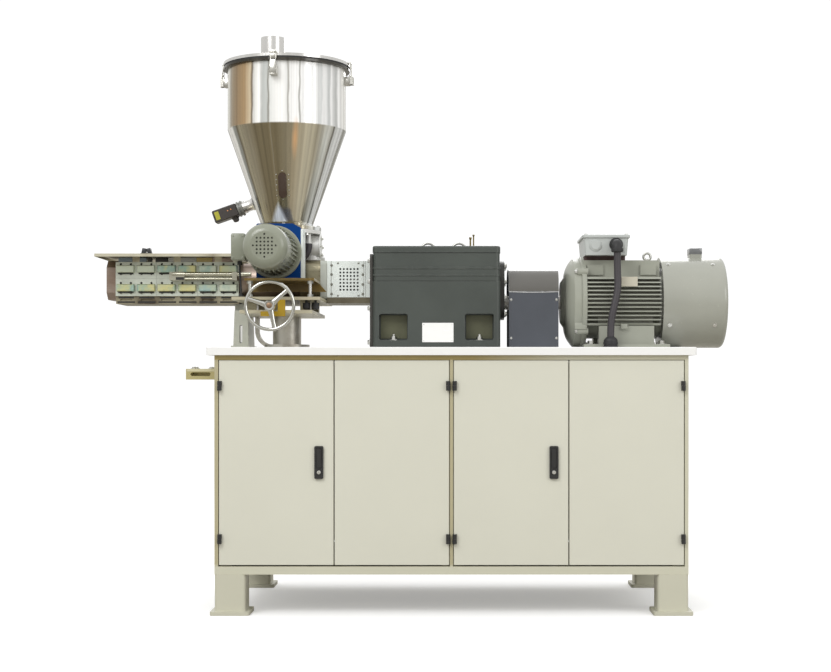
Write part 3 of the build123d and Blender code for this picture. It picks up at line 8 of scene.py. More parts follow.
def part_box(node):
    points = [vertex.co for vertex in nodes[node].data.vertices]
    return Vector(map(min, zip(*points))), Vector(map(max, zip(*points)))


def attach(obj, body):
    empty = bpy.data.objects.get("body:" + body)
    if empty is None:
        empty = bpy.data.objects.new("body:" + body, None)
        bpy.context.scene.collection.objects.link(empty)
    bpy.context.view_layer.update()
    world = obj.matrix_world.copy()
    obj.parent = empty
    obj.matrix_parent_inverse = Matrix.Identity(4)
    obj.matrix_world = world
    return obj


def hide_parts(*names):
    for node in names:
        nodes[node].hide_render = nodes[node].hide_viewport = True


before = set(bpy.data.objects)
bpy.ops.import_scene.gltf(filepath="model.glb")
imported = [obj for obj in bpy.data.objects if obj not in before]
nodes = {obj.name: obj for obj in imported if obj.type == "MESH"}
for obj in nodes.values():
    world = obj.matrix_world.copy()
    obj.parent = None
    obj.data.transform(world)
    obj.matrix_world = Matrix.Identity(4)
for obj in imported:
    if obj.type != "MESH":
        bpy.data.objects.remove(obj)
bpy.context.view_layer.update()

# Camera: a long lens at table height, square to the door side, a little right of the
# middle. The shift frames the machine as the photograph does.
camera_data = bpy.data.cameras.new("camera")
camera_data.lens = 67.54
camera_data.sensor_width = 36
camera_data.shift_x = -0.0556
camera_data.shift_y = 0.0469
camera = bpy.data.objects.new("camera", camera_data)
camera.location = (0.1635, -5.3625, 0.775)
camera.rotation_euler = (math.pi / 2, 0, 0)
bpy.context.scene.collection.objects.link(camera)
bpy.context.scene.camera = camera

# Cables: two lengths of sheathed cable that the machine holds at both ends. The motor's is
# Ø24 mm and 288 mm long, from the elbow on its terminal box to a fitting on the table. The
# feeder's is Ø6.4 mm and 96 mm long, from the gland under its box to the upper plate.
def held_cable(name, points, radius, stands_for):
    """A cable along its route, held by the machine at both ends."""
    line = bpy.data.curves.new(name, "CURVE")
    line.dimensions = "3D"
    line.bevel_depth = 1.0
    line.bevel_resolution = 8
    line.resolution_u = 24
    line.use_fill_caps = True
    route = line.splines.new("NURBS")
    route.points.add(len(points) - 1)
    for point, place in zip(route.points, points):
        point.co = (*place, 1)
        point.radius = radius
    route.order_u = 3
    route.use_endpoint_u = True
    cable = bpy.data.objects.new(name, line)
    bpy.context.scene.collection.objects.link(cable)
    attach(cable, "root")
    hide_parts(stands_for)
    return cable


motor_cable = held_cable("motor_cable_sheath", [
    (0.6855, -0.1325, 1.188),
    (0.6855, -0.1325, 1.128),
    (0.6885, -0.1365, 1.064),
    (0.6735, -0.1415, 1.002),
    (0.6625, -0.1415, 0.951),
    (0.6625, -0.1415, 0.903),
], 0.012, "motor_cable")
feeder_cable = held_cable("feeder_cable_sheath", [
    (-0.5608, -0.2765, 1.134),
    (-0.5608, -0.2765, 1.104),
    (-0.5568, -0.2725, 1.068),
    (-0.5568, -0.2725, 1.038),
], 0.0032, "feeder_cable")

# Studio: a plain pale floor and a white surround that is dimmer near the horizon, with a
# broad light over the camera's left shoulder and weaker ones from the right and behind.
def new_material(name):
    """A material with its node tree and its shader."""
    material = bpy.data.materials.new(name)
    material.use_nodes = True
    return material, material.node_tree, material.node_tree.nodes["Principled BSDF"]


def feed(fed, pairs):
    """Gives a node's inputs their values or their source sockets."""
    for label, source in pairs:
        socket = fed.inputs[label]
        if hasattr(source, "is_output"):
            fed.id_data.links.new(source, socket)
        else:
            socket.default_value = source


def node(tree, kind, pairs=(), **values):
    """A node with set values and fed inputs."""
    made = tree.nodes.new(kind)
    for key, value in values.items():
        setattr(made, key, value)
    feed(made, pairs)
    return made


def ranged(tree, value, start, end, low=0.0, high=1.0):
    """A value that runs from low to high between start and end."""
    return node(tree, "ShaderNodeMapRange", [
        ("Value", value), ("From Min", start), ("From Max", end), ("To Min", low), ("To Max", high),
    ]).outputs[0]


def blend(tree, share, first, second):
    """One colour that turns into another by a share."""
    return node(tree, "ShaderNodeMix", [("Factor", share), (6, first), (7, second)],
                data_type="RGBA").outputs[2]


def colour_ramp(tree, value, stops):
    """A ramp through (position, colour) stops, where a colour may carry its alpha."""
    ramp = node(tree, "ShaderNodeValToRGB", [("Fac", value)])
    while len(ramp.color_ramp.elements) < len(stops):
        ramp.color_ramp.elements.new(0.5)
    for stop, (position, colour) in zip(ramp.color_ramp.elements, stops):
        stop.position = position
        stop.color = (*colour, 1)[:4]
    return ramp.outputs


near_x, near_y, far_y, floor_z = 60, -60, 200, -0.0005
floor_data = bpy.data.meshes.new("floor")
floor_data.from_pydata([
    (-near_x, near_y, floor_z), (near_x, near_y, floor_z),
    (near_x, far_y, floor_z), (-near_x, far_y, floor_z),
], [], [(0, 1, 2, 3)])
floor = bpy.data.objects.new("floor", floor_data)
bpy.context.scene.collection.objects.link(floor)
pale_floor, tree, lit = new_material("pale_floor")
feed(lit, [("Base Color", (0.8, 0.8, 0.8, 1)), ("Roughness", 0.9), ("Specular IOR Level", 0.0),
           ("Emission Color", (1, 1, 1, 1)), ("Emission Strength", 0.3)])
dull = node(tree, "ShaderNodeBsdfDiffuse", [("Color", (0.42, 0.4, 0.36, 1))])
ray = node(tree, "ShaderNodeLightPath")
either = node(tree, "ShaderNodeMixShader", [
    (0, ray.outputs["Is Camera Ray"]), (1, dull.outputs[0]), (2, lit.outputs[0]),
])
feed(tree.nodes["Material Output"], [("Surface", either.outputs[0])])
floor_data.materials.append(pale_floor)
surround = bpy.data.worlds.new("surround")
surround.use_nodes = True
tree = surround.node_tree
direction = node(tree, "ShaderNodeTexCoord").outputs["Generated"]
direction = node(tree, "ShaderNodeSeparateXYZ", [(0, direction)]).outputs
sky = colour_ramp(tree, ranged(tree, direction["Z"], -1.0, 1.0), [
    (0.0, (0.34, 0.32, 0.28)),
    (0.49, (0.38, 0.36, 0.32)),
    (0.515, (0.62, 0.61, 0.58)),
    (0.62, (0.8, 0.8, 0.79)),
    (1.0, (1.0, 1.0, 1.0)),
])
ray = node(tree, "ShaderNodeLightPath")
seen = blend(tree, ray.outputs["Is Camera Ray"], sky["Color"], (1, 1, 1, 1))
feed(tree.nodes["Background"], [("Color", seen), ("Strength", 1.06)])
bpy.context.scene.world = surround
bpy.context.scene.view_settings.view_transform = "Standard"
for light_name, place, target, size, power in (
    ("key_light", (-2.4, -4.0, 4.4), (0, 0, 0.9), 2.4, 124),
    ("fill_light", (3.8, -3.4, 2.4), (0.2, 0, 0.9), 2.2, 46),
    ("rear_light", (0.5, 3.5, 3.6), (0, 0, 1.0), 2.4, 60),
):
    light_data = bpy.data.lights.new(light_name, "AREA")
    light_data.size = size
    light_data.energy = power
    light = bpy.data.objects.new(light_name, light_data)
    light.location = place
    light.rotation_euler = (Vector(target) - Vector(place)).to_track_quat("-Z", "Y").to_euler()
    bpy.context.scene.collection.objects.link(light)


# Cabinet frame, legs, posts, fixed panels and doors: folded and welded steel sheet, sprayed
# with cream enamel that has a faint orange peel and shows a little wear on its edges.
def maths(tree, operation, *values):
    """The output of a Math node over values and sockets."""
    return node(tree, "ShaderNodeMath", enumerate(values), operation=operation).outputs[0]


def vectors(tree, operation, *values):
    """The output of a Vector Math node over vectors and sockets."""
    made = node(tree, "ShaderNodeVectorMath", enumerate(values), operation=operation)
    return made.outputs["Value" if operation in ("DOT_PRODUCT", "LENGTH") else "Vector"]


def scaled(tree, colour, factor):
    """A colour made lighter or darker by a factor."""
    return node(tree, "ShaderNodeVectorMath", [(0, colour), ("Scale", factor)],
                operation="SCALE").outputs["Vector"]


def noise(tree, place, scale, detail):
    """A cloud of values from 0 to 1."""
    return node(tree, "ShaderNodeTexNoise", [
        ("Vector", place), ("Scale", scale), ("Detail", detail),
    ]).outputs["Fac"]


def new_group(name, inputs):
    """A shader group that takes these inputs, with the sockets that they arrive at."""
    tree = bpy.data.node_groups.new(name, "ShaderNodeTree")
    for label, kind, value in inputs:
        tree.interface.new_socket(
            label, in_out="INPUT", socket_type=f"NodeSocket{kind}").default_value = value
    return tree, tree.nodes.new("NodeGroupInput").outputs


def put_out(tree, colour, roughness, height):
    """Gives a shader group its three outputs."""
    for label, kind in (("Colour", "Color"), ("Roughness", "Float"), ("Height", "Float")):
        tree.interface.new_socket(label, in_out="OUTPUT", socket_type=f"NodeSocket{kind}")
    node(tree, "NodeGroupOutput", [
        ("Colour", colour), ("Roughness", roughness), ("Height", height),
    ])


enamel, paint = new_group("sprayed_enamel", [
    ("Colour", "Color", (0.5, 0.5, 0.5, 1)), ("Worn Colour", "Color", (0.3, 0.3, 0.3, 1)),
    ("Mottle", "Float", 0.1), ("Wear", "Float", 0.3), ("Edge Width", "Float", 0.002),
    ("Roughness", "Float", 0.4), ("Peel Scale", "Float", 400),
])
place = node(enamel, "ShaderNodeTexCoord").outputs["Object"]
scuff = noise(enamel, place, 60.0, 5.0)
lift = maths(enamel, "SUBTRACT", noise(enamel, place, 5.0, 6.0), 0.5)
lift = maths(enamel, "ADD", maths(enamel, "MULTIPLY", lift, paint["Mottle"]), 1.0)
rounded = node(enamel, "ShaderNodeBevel", [("Radius", paint["Edge Width"])], samples=4)
shape = node(enamel, "ShaderNodeNewGeometry")
facing = vectors(enamel, "DOT_PRODUCT", rounded.outputs["Normal"], shape.outputs["Normal"])
edge = maths(enamel, "MULTIPLY", ranged(enamel, facing, 0.99, 0.8),
             ranged(enamel, scuff, 0.42, 0.62))
edge = maths(enamel, "MULTIPLY", edge, paint["Wear"])
put_out(enamel,
        blend(enamel, edge, scaled(enamel, paint["Colour"], lift), paint["Worn Colour"]),
        maths(enamel, "ADD", maths(enamel, "MULTIPLY_ADD", scuff, 0.16, -0.08), paint["Roughness"]),
        noise(enamel, place, paint["Peel Scale"], 2.0))


def finish_from(group, name, values, metallic=0.0, coat=0.0, bump=0.05, depth=0.001):
    """A material that reads its colour, roughness and height from a finish group."""
    material, tree, shader = new_material(name)
    finish = node(tree, "ShaderNodeGroup", node_tree=group)
    feed(finish, values.items())
    surface = finish.outputs
    height = node(tree, "ShaderNodeBump", [
        ("Height", surface["Height"]), ("Strength", bump), ("Distance", depth),
    ])
    feed(shader, [("Base Color", surface["Colour"]), ("Roughness", surface["Roughness"]),
                  ("Normal", height.outputs["Normal"]), ("Metallic", metallic),
                  ("Coat Weight", coat), ("Coat Roughness", 0.15)])
    return material


def painted(name, colour, roughness=0.38, wear=0.3, worn=(0.35, 0.34, 0.3), mottle=0.08,
            peel=420, edge_width=0.002, coat=0.15, bump=0.05):
    """Sprayed enamel of one colour."""
    values = {"Colour": (*colour, 1), "Worn Colour": (*worn, 1), "Mottle": mottle, "Wear": wear,
              "Edge Width": edge_width, "Roughness": roughness, "Peel Scale": peel}
    return finish_from(enamel, name, values, coat=coat, bump=bump)


def dress(material, *names):
    """Gives carried-over CAD nodes their finish."""
    for name in names:
        nodes[name].material_slots[0].material = material


worn_olive = (0.3, 0.26, 0.14)
cream = painted("cream_enamel", (0.675, 0.67, 0.575), wear=0.35, worn=(0.42, 0.38, 0.24),
                mottle=0.06)
dress(cream, "door_1", "door_2", "door_3", "door_4", "cabinet_panels")
cream_frame = painted("cream_frame_enamel", (0.59, 0.58, 0.47), wear=0.5, worn=worn_olive)
dress(cream_frame, "legs")
legs_top = 0.16
# The posts and the frame's rails are painted a darker olive above the legs' top, most towards the
# left: painted shade under the tabletop and in the gaps between the doors.
for frame_part, shade in (
    ("posts", (0.45, 0.41, 0.26, 1)),
    ("cabinet_frame", (0.37, 0.29, 0.11, 1)),
):
    shaded_enamel = painted(f"{frame_part}_enamel", (0.61, 0.6, 0.48), wear=0.5, worn=worn_olive)
    tree = shaded_enamel.node_tree
    base = tree.nodes["Principled BSDF"].inputs["Base Color"]
    spot = node(tree, "ShaderNodeTexCoord").outputs["Object"]
    spot = node(tree, "ShaderNodeSeparateXYZ", [(0, spot)]).outputs
    painted_shade_share = maths(tree, "MULTIPLY", ranged(tree, spot["Z"], legs_top - 0.005, legs_top + 0.005),
                ranged(tree, spot["X"], 0.5, 0.2, 0.15, 1.0))
    tree.links.new(blend(tree, painted_shade_share, base.links[0].from_socket, shade), base)
    dress(shaded_enamel, frame_part)

# Tabletop: one thick steel plate with ground edges, sprayed satin white. It lies on the
# cabinet's frame and carries the whole machine.
white_top = painted("white_table_enamel", (0.88, 0.88, 0.87), roughness=0.3, wear=0.35,
                    worn=(0.55, 0.5, 0.48), mottle=0.04)
dress(white_top, "tabletop")

# Hinges and swing-handle locks: black coated castings, fixed to the posts and the doors, with
# a plated key cylinder in each lock.
black_coat = painted("black_coating", (0.018, 0.018, 0.018), roughness=0.45, wear=0.25,
                     worn=(0.2, 0.2, 0.2), peel=900)
dress(black_coat, "hinge_posts", "door_1_fittings", "door_2_fittings", "door_3_fittings",
      "door_4_fittings")


def add_piece(name, form, material, body="root", crease=35):
    """Turns a bmesh into a named piece that rides on a body."""
    bmesh.ops.recalc_face_normals(form, faces=form.faces)
    mesh = bpy.data.meshes.new(name)
    form.to_mesh(mesh)
    form.free()
    for face in mesh.polygons:
        face.use_smooth = True
    mesh.set_sharp_from_angle(angle=math.radians(crease))
    mesh.materials.append(material)
    piece = bpy.data.objects.new(name, mesh)
    bpy.context.scene.collection.objects.link(piece)
    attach(piece, body)
    return piece


def circle(steps):
    """The angles of so many even steps round a circle."""
    return [2 * math.pi * step / steps for step in range(steps)]


def ring(form, middle, first, second, steps=32):
    """An oval of points round a middle, from its two half-widths."""
    return [form.verts.new(middle + first * math.cos(turned) + second * math.sin(turned))
            for turned in circle(steps)]


def skin(form, rings):
    """Joins each ring of points to the next one; a ring may be one point, repeated."""
    for low, high in zip(rings, rings[1:]):
        for step in range(len(low)):
            after = (step + 1) % len(low)
            corners = []
            for corner in (low[step], low[after], high[after], high[step]):
                if corner not in corners:
                    corners.append(corner)
            if len(corners) > 2:
                form.faces.new(corners)


def turn(form, profile, at, axis, steps=32, closed=False):
    """Revolves (radius, height) points about an axis through at; closed joins last to first."""
    spin = Vector((0, 0, 1)).rotation_difference(Vector(axis))
    side, up, ahead = (spin @ Vector(way) for way in ((1, 0, 0), (0, 1, 0), (0, 0, 1)))
    rings = []
    for radius, height in profile:
        middle = Vector(at) + ahead * height
        if radius:
            rings.append(ring(form, middle, side * radius, up * radius, steps))
        else:
            rings.append([form.verts.new(middle)] * steps)
    skin(form, rings + rings[:1] if closed else rings)


def rod(form, radius, length, at, axis, steps=12):
    """A plain round rod."""
    turn(form, [(0, 0), (radius, 0), (radius, length), (0, length)], at, axis, steps)


def bolt(form, at, axis, across=0.013, height=0.006):
    """A hexagon head on its washer."""
    washer = 0.0016
    rod(form, across * 0.95, washer, at, axis, 24)
    radius = across / math.sqrt(3)
    turn(form, [(0, 0), (radius, 0), (radius, height * 0.85), (radius * 0.86, height), (0, height)],
         Vector(at) + Vector(axis) * washer, axis, 6)


def block(form, corner, opposite, bevel=0.0, segments=2, seat=Matrix.Identity(4)):
    """A box between two corners of a seat's own frame, with rounded edges."""
    size = [abs(b - a) for a, b in zip(corner, opposite)]
    middle = [(a + b) / 2 for a, b in zip(corner, opposite)]
    made = bmesh.ops.create_cube(
        form, size=1, matrix=seat @ Matrix.Translation(middle) @ Matrix.Diagonal((*size, 1)))
    if bevel:
        edges = {edge for vert in made["verts"] for edge in vert.link_edges}
        bmesh.ops.bevel(form, geom=list(edges), offset=bevel, segments=segments,
                        affect="EDGES", profile=0.5)


brushed, bare = new_group("brushed_metal", [
    ("Colour", "Color", (0.6, 0.6, 0.6, 1)), ("Stain", "Color", (0.3, 0.28, 0.24, 1)),
    ("Staining", "Float", 0.2), ("Grain", "Vector", (40, 40, 40)), ("Roughness", "Float", 0.3),
])
place = node(brushed, "ShaderNodeTexCoord").outputs["Object"]
line = noise(brushed, vectors(brushed, "MULTIPLY", place, bare["Grain"]), 1.0, 4.0)
blot = maths(brushed, "MULTIPLY", ranged(brushed, noise(brushed, place, 14.0, 5.0), 0.45, 0.7),
             bare["Staining"])
put_out(brushed,
        scaled(brushed, blend(brushed, blot, bare["Colour"], bare["Stain"]),
               ranged(brushed, line, 0.0, 1.0, 0.86, 1.1)),
        maths(brushed, "ADD", maths(brushed, "MULTIPLY_ADD", line, 0.2, -0.1), bare["Roughness"]),
        line)


def metal(name, colour, roughness=0.3, grain=(60, 60, 60), stain=(0.3, 0.28, 0.24),
          staining=0.2, bump=0.04, metallic=1.0):
    """Bare or plated metal with its tool marks running across the long side of the grain."""
    values = {"Colour": (*colour, 1), "Stain": (*stain, 1), "Staining": staining,
              "Grain": grain, "Roughness": roughness}
    return finish_from(brushed, name, values, metallic=metallic, bump=bump, depth=0.0005)


plated = metal("zinc_plate", (0.75, 0.75, 0.72), roughness=0.28, staining=0.15)
cylinder_profile = [(0, 0), (0.0062, 0), (0.0062, 0.0015), (0.0052, 0.0025), (0.0012, 0.0025),
                    (0.0012, 0.001), (0, 0.001)]
lock_front, key_z = -0.3405, 0.461
for lock_x, body in ((-0.297, "door_1"), (0.461, "door_3")):
    form = bmesh.new()
    turn(form, cylinder_profile, (lock_x, lock_front, key_z), (0, -1, 0))
    add_piece(f"{body}_key_cylinder", form, plated, body)

# Shelf bracket: a pressed steel channel, sprayed cream, with a pale painted highlight along
# the top of its front, bolted to the left side panel.
bracket_wear = {"roughness": 0.4, "wear": 0.5, "worn": (0.3, 0.26, 0.16)}
dress(painted("bracket_enamel", (0.44, 0.385, 0.18), **bracket_wear), "side_bracket")
bracket_low, bracket_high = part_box("side_bracket")
bracket_top = 0.795
form = bmesh.new()
for y in (-0.265, -0.21):
    for x in (-0.655, -0.712):
        bolt(form, (x, y, bracket_top), (0, 0, 1), 0.011, 0.005)
add_piece("side_bracket_bolts", form, plated)
# A thin pale strip high on the bracket's front: a painted highlight where the top flange catches
# the light.
form = bmesh.new()
block(form, (bracket_low[0] + 0.003, bracket_low[1] - 0.0006, bracket_high[2] - 0.009),
      (bracket_high[0] - 0.001, bracket_low[1] + 0.0006, bracket_high[2] - 0.0005), 0.0004, 1)
lit_edge_highlight = painted("bracket_rubbed_edge", (0.6, 0.56, 0.36), **bracket_wear)
add_piece("side_bracket_highlight", form, lit_edge_highlight)

# Gearbox: two machined iron castings and a cover, filled and sprayed dark grey, held down by
# a bolt in each corner pocket, with a blank white plate on the front.
gearbox_grey = painted("gearbox_enamel", (0.053, 0.062, 0.055), roughness=0.42, wear=0.9,
                       worn=(0.2, 0.21, 0.2), mottle=0.9, peel=260, edge_width=0.0015, coat=0.05,
                       bump=0.08)
dress(gearbox_grey, "gearbox_lower", "gearbox_upper")
gearbox_dark = painted("gearbox_cover_enamel", (0.035, 0.033, 0.028), roughness=0.42, wear=0.4,
                       worn=(0.14, 0.13, 0.12), mottle=0.3)
dress(gearbox_dark, "gearbox_end_covers")
middle_y = 0.0475
gearbox_left, gearbox_right = -0.1365, 0.2935
gearbox_front, gearbox_back = middle_y - 0.175, middle_y + 0.175
pocket_in, pocket_half, pocket_low, pocket_high, pocket_depth = 0.0705, 0.0445, 0.898, 0.977, 0.045
pocket_xs = (gearbox_left + pocket_in, gearbox_right - pocket_in)
holding_z, stud_z, gearbox_top = 0.892, 0.9046, 1.209
form = bmesh.new()
for x in pocket_xs:
    for y in (gearbox_front + pocket_depth / 2, gearbox_back - pocket_depth / 2):
        bolt(form, (x, y, holding_z), (0, 0, 1), 0.018, 0.011)
        turn(form, [(0, 0), (0.0045, 0), (0.0045, 0.008), (0, 0.009)], (x, y, stud_z),
             (0, 0, 1), 16)
add_piece("gearbox_holding_bolts", form, plated)
form = bmesh.new()
for offsets, heights in (
    ((-0.0775, 0, 0.0775), (0.985, 1.149)),
    ((-0.0815, 0.0815), (1.04, 1.094)),
):
    for offset in offsets:
        for z in heights:
            bolt(form, (gearbox_right + 0.016, middle_y + offset, z), (1, 0, 0), height=0.007)
for offset in (-0.1525, 0.1525):
    for z in (0.885, 1.0, 1.09, 1.16):
        bolt(form, (gearbox_left - 0.009, middle_y + offset, z), (-1, 0, 0), height=0.007)
add_piece("gearbox_cover_bolts", form, plated)
form = bmesh.new()
for x in pocket_xs:
    for face_y, inward in ((gearbox_front, 1), (gearbox_back, -1)):
        block(form, (x - pocket_half, face_y + inward * (pocket_depth - 0.0008), pocket_low),
              (x + pocket_half, face_y + inward * pocket_depth, pocket_high), 0.0003, 1)
pocket_olive = painted("pocket_enamel", (0.11, 0.112, 0.062), roughness=0.45, wear=0.0,
                       mottle=1.2, coat=0.0)
add_piece("gearbox_pocket_walls", form, pocket_olive)
form = bmesh.new()
for seam_z in (1.0902, 1.1868):
    for outer_y, inner_y in ((gearbox_front + 0.0004, gearbox_front + 0.004),
                             (gearbox_back - 0.0004, gearbox_back - 0.004)):
        block(form, (gearbox_left + 0.016, outer_y, seam_z - 0.0012),
              (gearbox_right - 0.016, inner_y, seam_z + 0.0012))
seam_black = painted("seam_shadow", (0.012, 0.012, 0.011), roughness=0.7, wear=0.0, coat=0.0)
add_piece("gearbox_seams", form, seam_black)
plate_left, plate_right, plate_low, plate_high, plate_thick = 0.031, 0.136, 0.885, 0.95, 0.0015
form = bmesh.new()
block(form, (plate_left, gearbox_front - plate_thick, plate_low),
      (plate_right, gearbox_front, plate_high), 0.0006, 1)
plate_white = painted("blank_plate_enamel", (0.9, 0.9, 0.88), roughness=0.25, wear=0.0, mottle=0.03)
add_piece("gearbox_plate", form, plate_white)
form = bmesh.new()
for x in (plate_left + 0.005, plate_right - 0.005):
    for z in (plate_low + 0.0055, plate_high - 0.0055):
        turn(form, [(0, 0.0012), (0.0012, 0.001), (0.002, 0.0003), (0.002, 0)],
             (x, gearbox_front - plate_thick, z), (0, -1, 0), 16)
add_piece("gearbox_plate_rivets", form, plated)
oil_rod_y = 0.03
form = bmesh.new()
for rod_x, neck, knob, knob_low, knob_high in ((0.1935, 0.003, 0.0045, 0.034, 0.042),
                                               (0.2045, 0.0025, 0.004, 0.045, 0.051)):
    turn(form, [(0, 0), (0.006, 0), (0.006, 0.008), (neck, 0.01), (neck, knob_low),
                (knob, knob_low + 0.002), (knob, knob_high), (0, knob_high + 0.001)],
         (rod_x, oil_rod_y, gearbox_top), (0, 0, 1), 20)
brass = metal("dull_brass", (0.2, 0.155, 0.06), roughness=0.35, staining=0.3)
add_piece("gearbox_oil_rods", form, brass)
dress(metal("lifting_eye_plate", (0.6, 0.6, 0.57), roughness=0.35, staining=0.3), "lifting_eyes")

# Coupling guard: one sheet bent into an arch and sprayed slate grey, over a turned steel
# coupling. Its shiny top is a painted reflection in brown; each bend has a bright painted
# highlight.
guard_slate = painted("slate_enamel", (0.066, 0.073, 0.088), roughness=0.45, wear=0.3,
                      worn=(0.3, 0.3, 0.3), mottle=0.6, peel=300, coat=0.08, bump=0.01)
dress(guard_slate, "coupling_guard")
dress(metal("turned_steel", (0.5, 0.49, 0.46), grain=(300, 20, 20), staining=0.3), "shafts")
guard_left, guard_right = 0.3225, 0.4925
guard_half, guard_bend, guard_crown = 0.13, 0.073, 1.137
form = bmesh.new()
for out in (-1, 1):
    for x in (guard_left + 0.008, guard_right - 0.008):
        for z in (0.9, 1.03):
            turn(form, [(0, 0.003), (0.003, 0.0025), (0.0045, 0.001), (0.0045, 0)],
                 (x, middle_y + out * guard_half, z), (0, out, 0), 20)
add_piece("coupling_guard_screws", form, plated)
top_sheet, top_drop = 0.0012, 0.006
arch = []
for side in (-1, 1):
    bend_y, bend_z = middle_y + side * (guard_half - guard_bend), guard_crown - guard_bend
    for turned in [step * math.pi / 32 for step in range(17)][::-side]:
        arch.append((bend_y + side * math.cos(turned) * (guard_bend + top_sheet),
                     bend_z + math.sin(turned) * (guard_bend + top_sheet)))
arch.insert(0, (arch[0][0], arch[0][1] - top_drop))
arch.append((arch[-1][0], arch[-1][1] - top_drop))
form = bmesh.new()
rings = []
for y, z in arch:
    inner_y = middle_y + (y - middle_y) * 0.989
    inner_z = z - top_sheet if z > 1.09 else z
    rings.append([form.verts.new(corner) for corner in (
        (guard_left, y, z), (guard_left, inner_y, inner_z),
        (guard_right, inner_y, inner_z), (guard_right, y, z),
    )])
skin(form, rings)
form.faces.new(rings[0])
form.faces.new(rings[-1])
# The top sheet is painted a dark brown that stands for the room reflected on its curved top: a
# painted reflection.
guard_top_reflection = painted("guard_top_reflection_enamel", (0.11, 0.105, 0.095), roughness=0.24, wear=0.6,
                      worn=(0.75, 0.76, 0.78), mottle=0.4, coat=0.5, edge_width=0.003)
add_piece("coupling_guard_top", form, guard_top_reflection)
# Bright strips along both bends, sagging a little towards the middle: a painted highlight where
# each bend catches the light.
bend_highlight_low, bend_highlight_high, bend_highlight_sag, bend_highlight_step = 1.056, 1.0588, 0.0022, 0.014
form = bmesh.new()
for out in (-1, 1):
    for step in range(12):
        x = guard_left + 0.001 + bend_highlight_step * step
        sag = bend_highlight_sag * (1 - ((step - 5.5) / 6) ** 2)
        block(form, (x, middle_y + out * 0.1296, bend_highlight_low - sag),
              (x + bend_highlight_step + 0.00005, middle_y + out * 0.1312, bend_highlight_high - sag))
add_piece("coupling_guard_bend_highlights", form,
          metal("painted_bend_highlight", (0.8, 0.82, 0.84), roughness=0.25, staining=0.1))

# Main motor: a cast-iron frame with level fins between an end shield and a pressed fan cowl,
# all sprayed grey-green, with a terminal box on its head and a blank plate on its side.
motor_green = painted("motor_enamel", (0.33, 0.34, 0.285), roughness=0.35, wear=0.35,
                      worn=(0.5, 0.5, 0.46), mottle=0.3, peel=300, bump=0.08)
dress(motor_green, "motor_end_shield", "motor_frame")
cowl_green = painted("fan_cowl_enamel", (0.34, 0.345, 0.3), roughness=0.24, wear=0.3,
                     worn=(0.5, 0.5, 0.46), mottle=0.35, peel=500, coat=0.3)
dress(cowl_green, "fan_cowl")
box_grey = painted("terminal_box_enamel", (0.48, 0.505, 0.49), roughness=0.35, wear=0.35,
                   worn=(0.55, 0.55, 0.5), mottle=0.15, peel=300, bump=0.08)
dress(box_grey, "terminal_box")
gasket_brown = painted("gasket_rubber", (0.06, 0.03, 0.028), roughness=0.6, wear=0.0, coat=0.0)
dress(gasket_brown, "terminal_gasket")
black_rubber = painted("black_rubber", (0.02, 0.02, 0.021), roughness=0.55, wear=0.2,
                       worn=(0.08, 0.08, 0.08), coat=0.0, peel=700)
charcoal = painted("charcoal_sheath", (0.045, 0.04, 0.045), roughness=0.5, wear=0.0, coat=0.0,
                   mottle=0.3)
motor_cable.data.materials.append(charcoal)
feeder_cable.data.materials.append(black_rubber)
motor_z, motor_radius = 1.025, 0.156
motor_foot_top, motor_foot_half, shield_face, shield_bolts = 0.879, 0.127, 0.5445, 0.133


def on_motor(x, angle, reach=motor_radius):
    """A place round the motor's axis, and the way out from it."""
    out = Vector((0, math.cos(angle), math.sin(angle)))
    return Vector((x, middle_y, motor_z)) + out * reach, out


form = bmesh.new()
for x in (0.6005, 0.8405):
    for y in (middle_y - motor_foot_half, middle_y + motor_foot_half):
        bolt(form, (x, y, motor_foot_top), (0, 0, 1), 0.019, 0.011)
for angle in (0.35, 1.25, 1.9, 2.8, 3.5, 4.4, 5.0, 5.9):
    bolt(form, on_motor(shield_face, angle, shield_bolts)[0], (-1, 0, 0), 0.01)
for angle in (-2.6, -1.05, 0.5, 2.2):
    for x in (0.868, 1.02):
        bolt(form, *on_motor(x, angle), 0.008, 0.003)
add_piece("motor_bolts", form, plated)
lug_angles = [math.radians(degrees) for degrees in (40, 140, 220, 320)]
foot_lug = Vector((0.021, 0.016, 0.012))
form = bmesh.new()
turn(form, [(0.1528, 0.5715), (0.1575, 0.5715), (0.159, 0.573), (0.159, 0.5865), (0.1575, 0.588),
            (0.125, 0.588)], (0, middle_y, motor_z), (1, 0, 0), 128)
for angle in lug_angles:
    turn(form, [(0, 0.555), (0.010, 0.555), (0.013, 0.558), (0.013, 0.592), (0, 0.592)],
         on_motor(0, angle)[0], (1, 0, 0), 24)
for degrees in (215, 325):
    spot = on_motor(0.5665, math.radians(degrees), 0.147)[0]
    block(form, spot - foot_lug, spot + foot_lug, 0.003)
add_piece("motor_shield_lugs", form, motor_green)
form = bmesh.new()
for angle in lug_angles:
    bolt(form, on_motor(0.555, angle)[0], (-1, 0, 0), 0.012, 0.007)
add_piece("motor_shield_bolts", form, plated)
motor_plate_front, motor_plate_back = -0.1045, -0.103
form = bmesh.new()
block(form, (0.7025, motor_plate_front, 1.0735), (0.757, motor_plate_back, 1.1065), 0.0005, 1)
plate_beige = painted("blank_motor_plate", (0.55, 0.52, 0.42), roughness=0.3, wear=0.1)
add_piece("motor_plate", form, plate_beige)
form = bmesh.new()
block(form, (0.7065, motor_plate_back, 1.0765), (0.753, -0.083, 1.1035), 0.001)
block(form, (0.7, -0.1115, 0.93), (0.722, -0.1055, 0.947), 0.002)
add_piece("motor_bosses", form, motor_green)
blank_x, blank_z, terminal_box_top = 0.6165, 1.214, 1.25
form = bmesh.new()
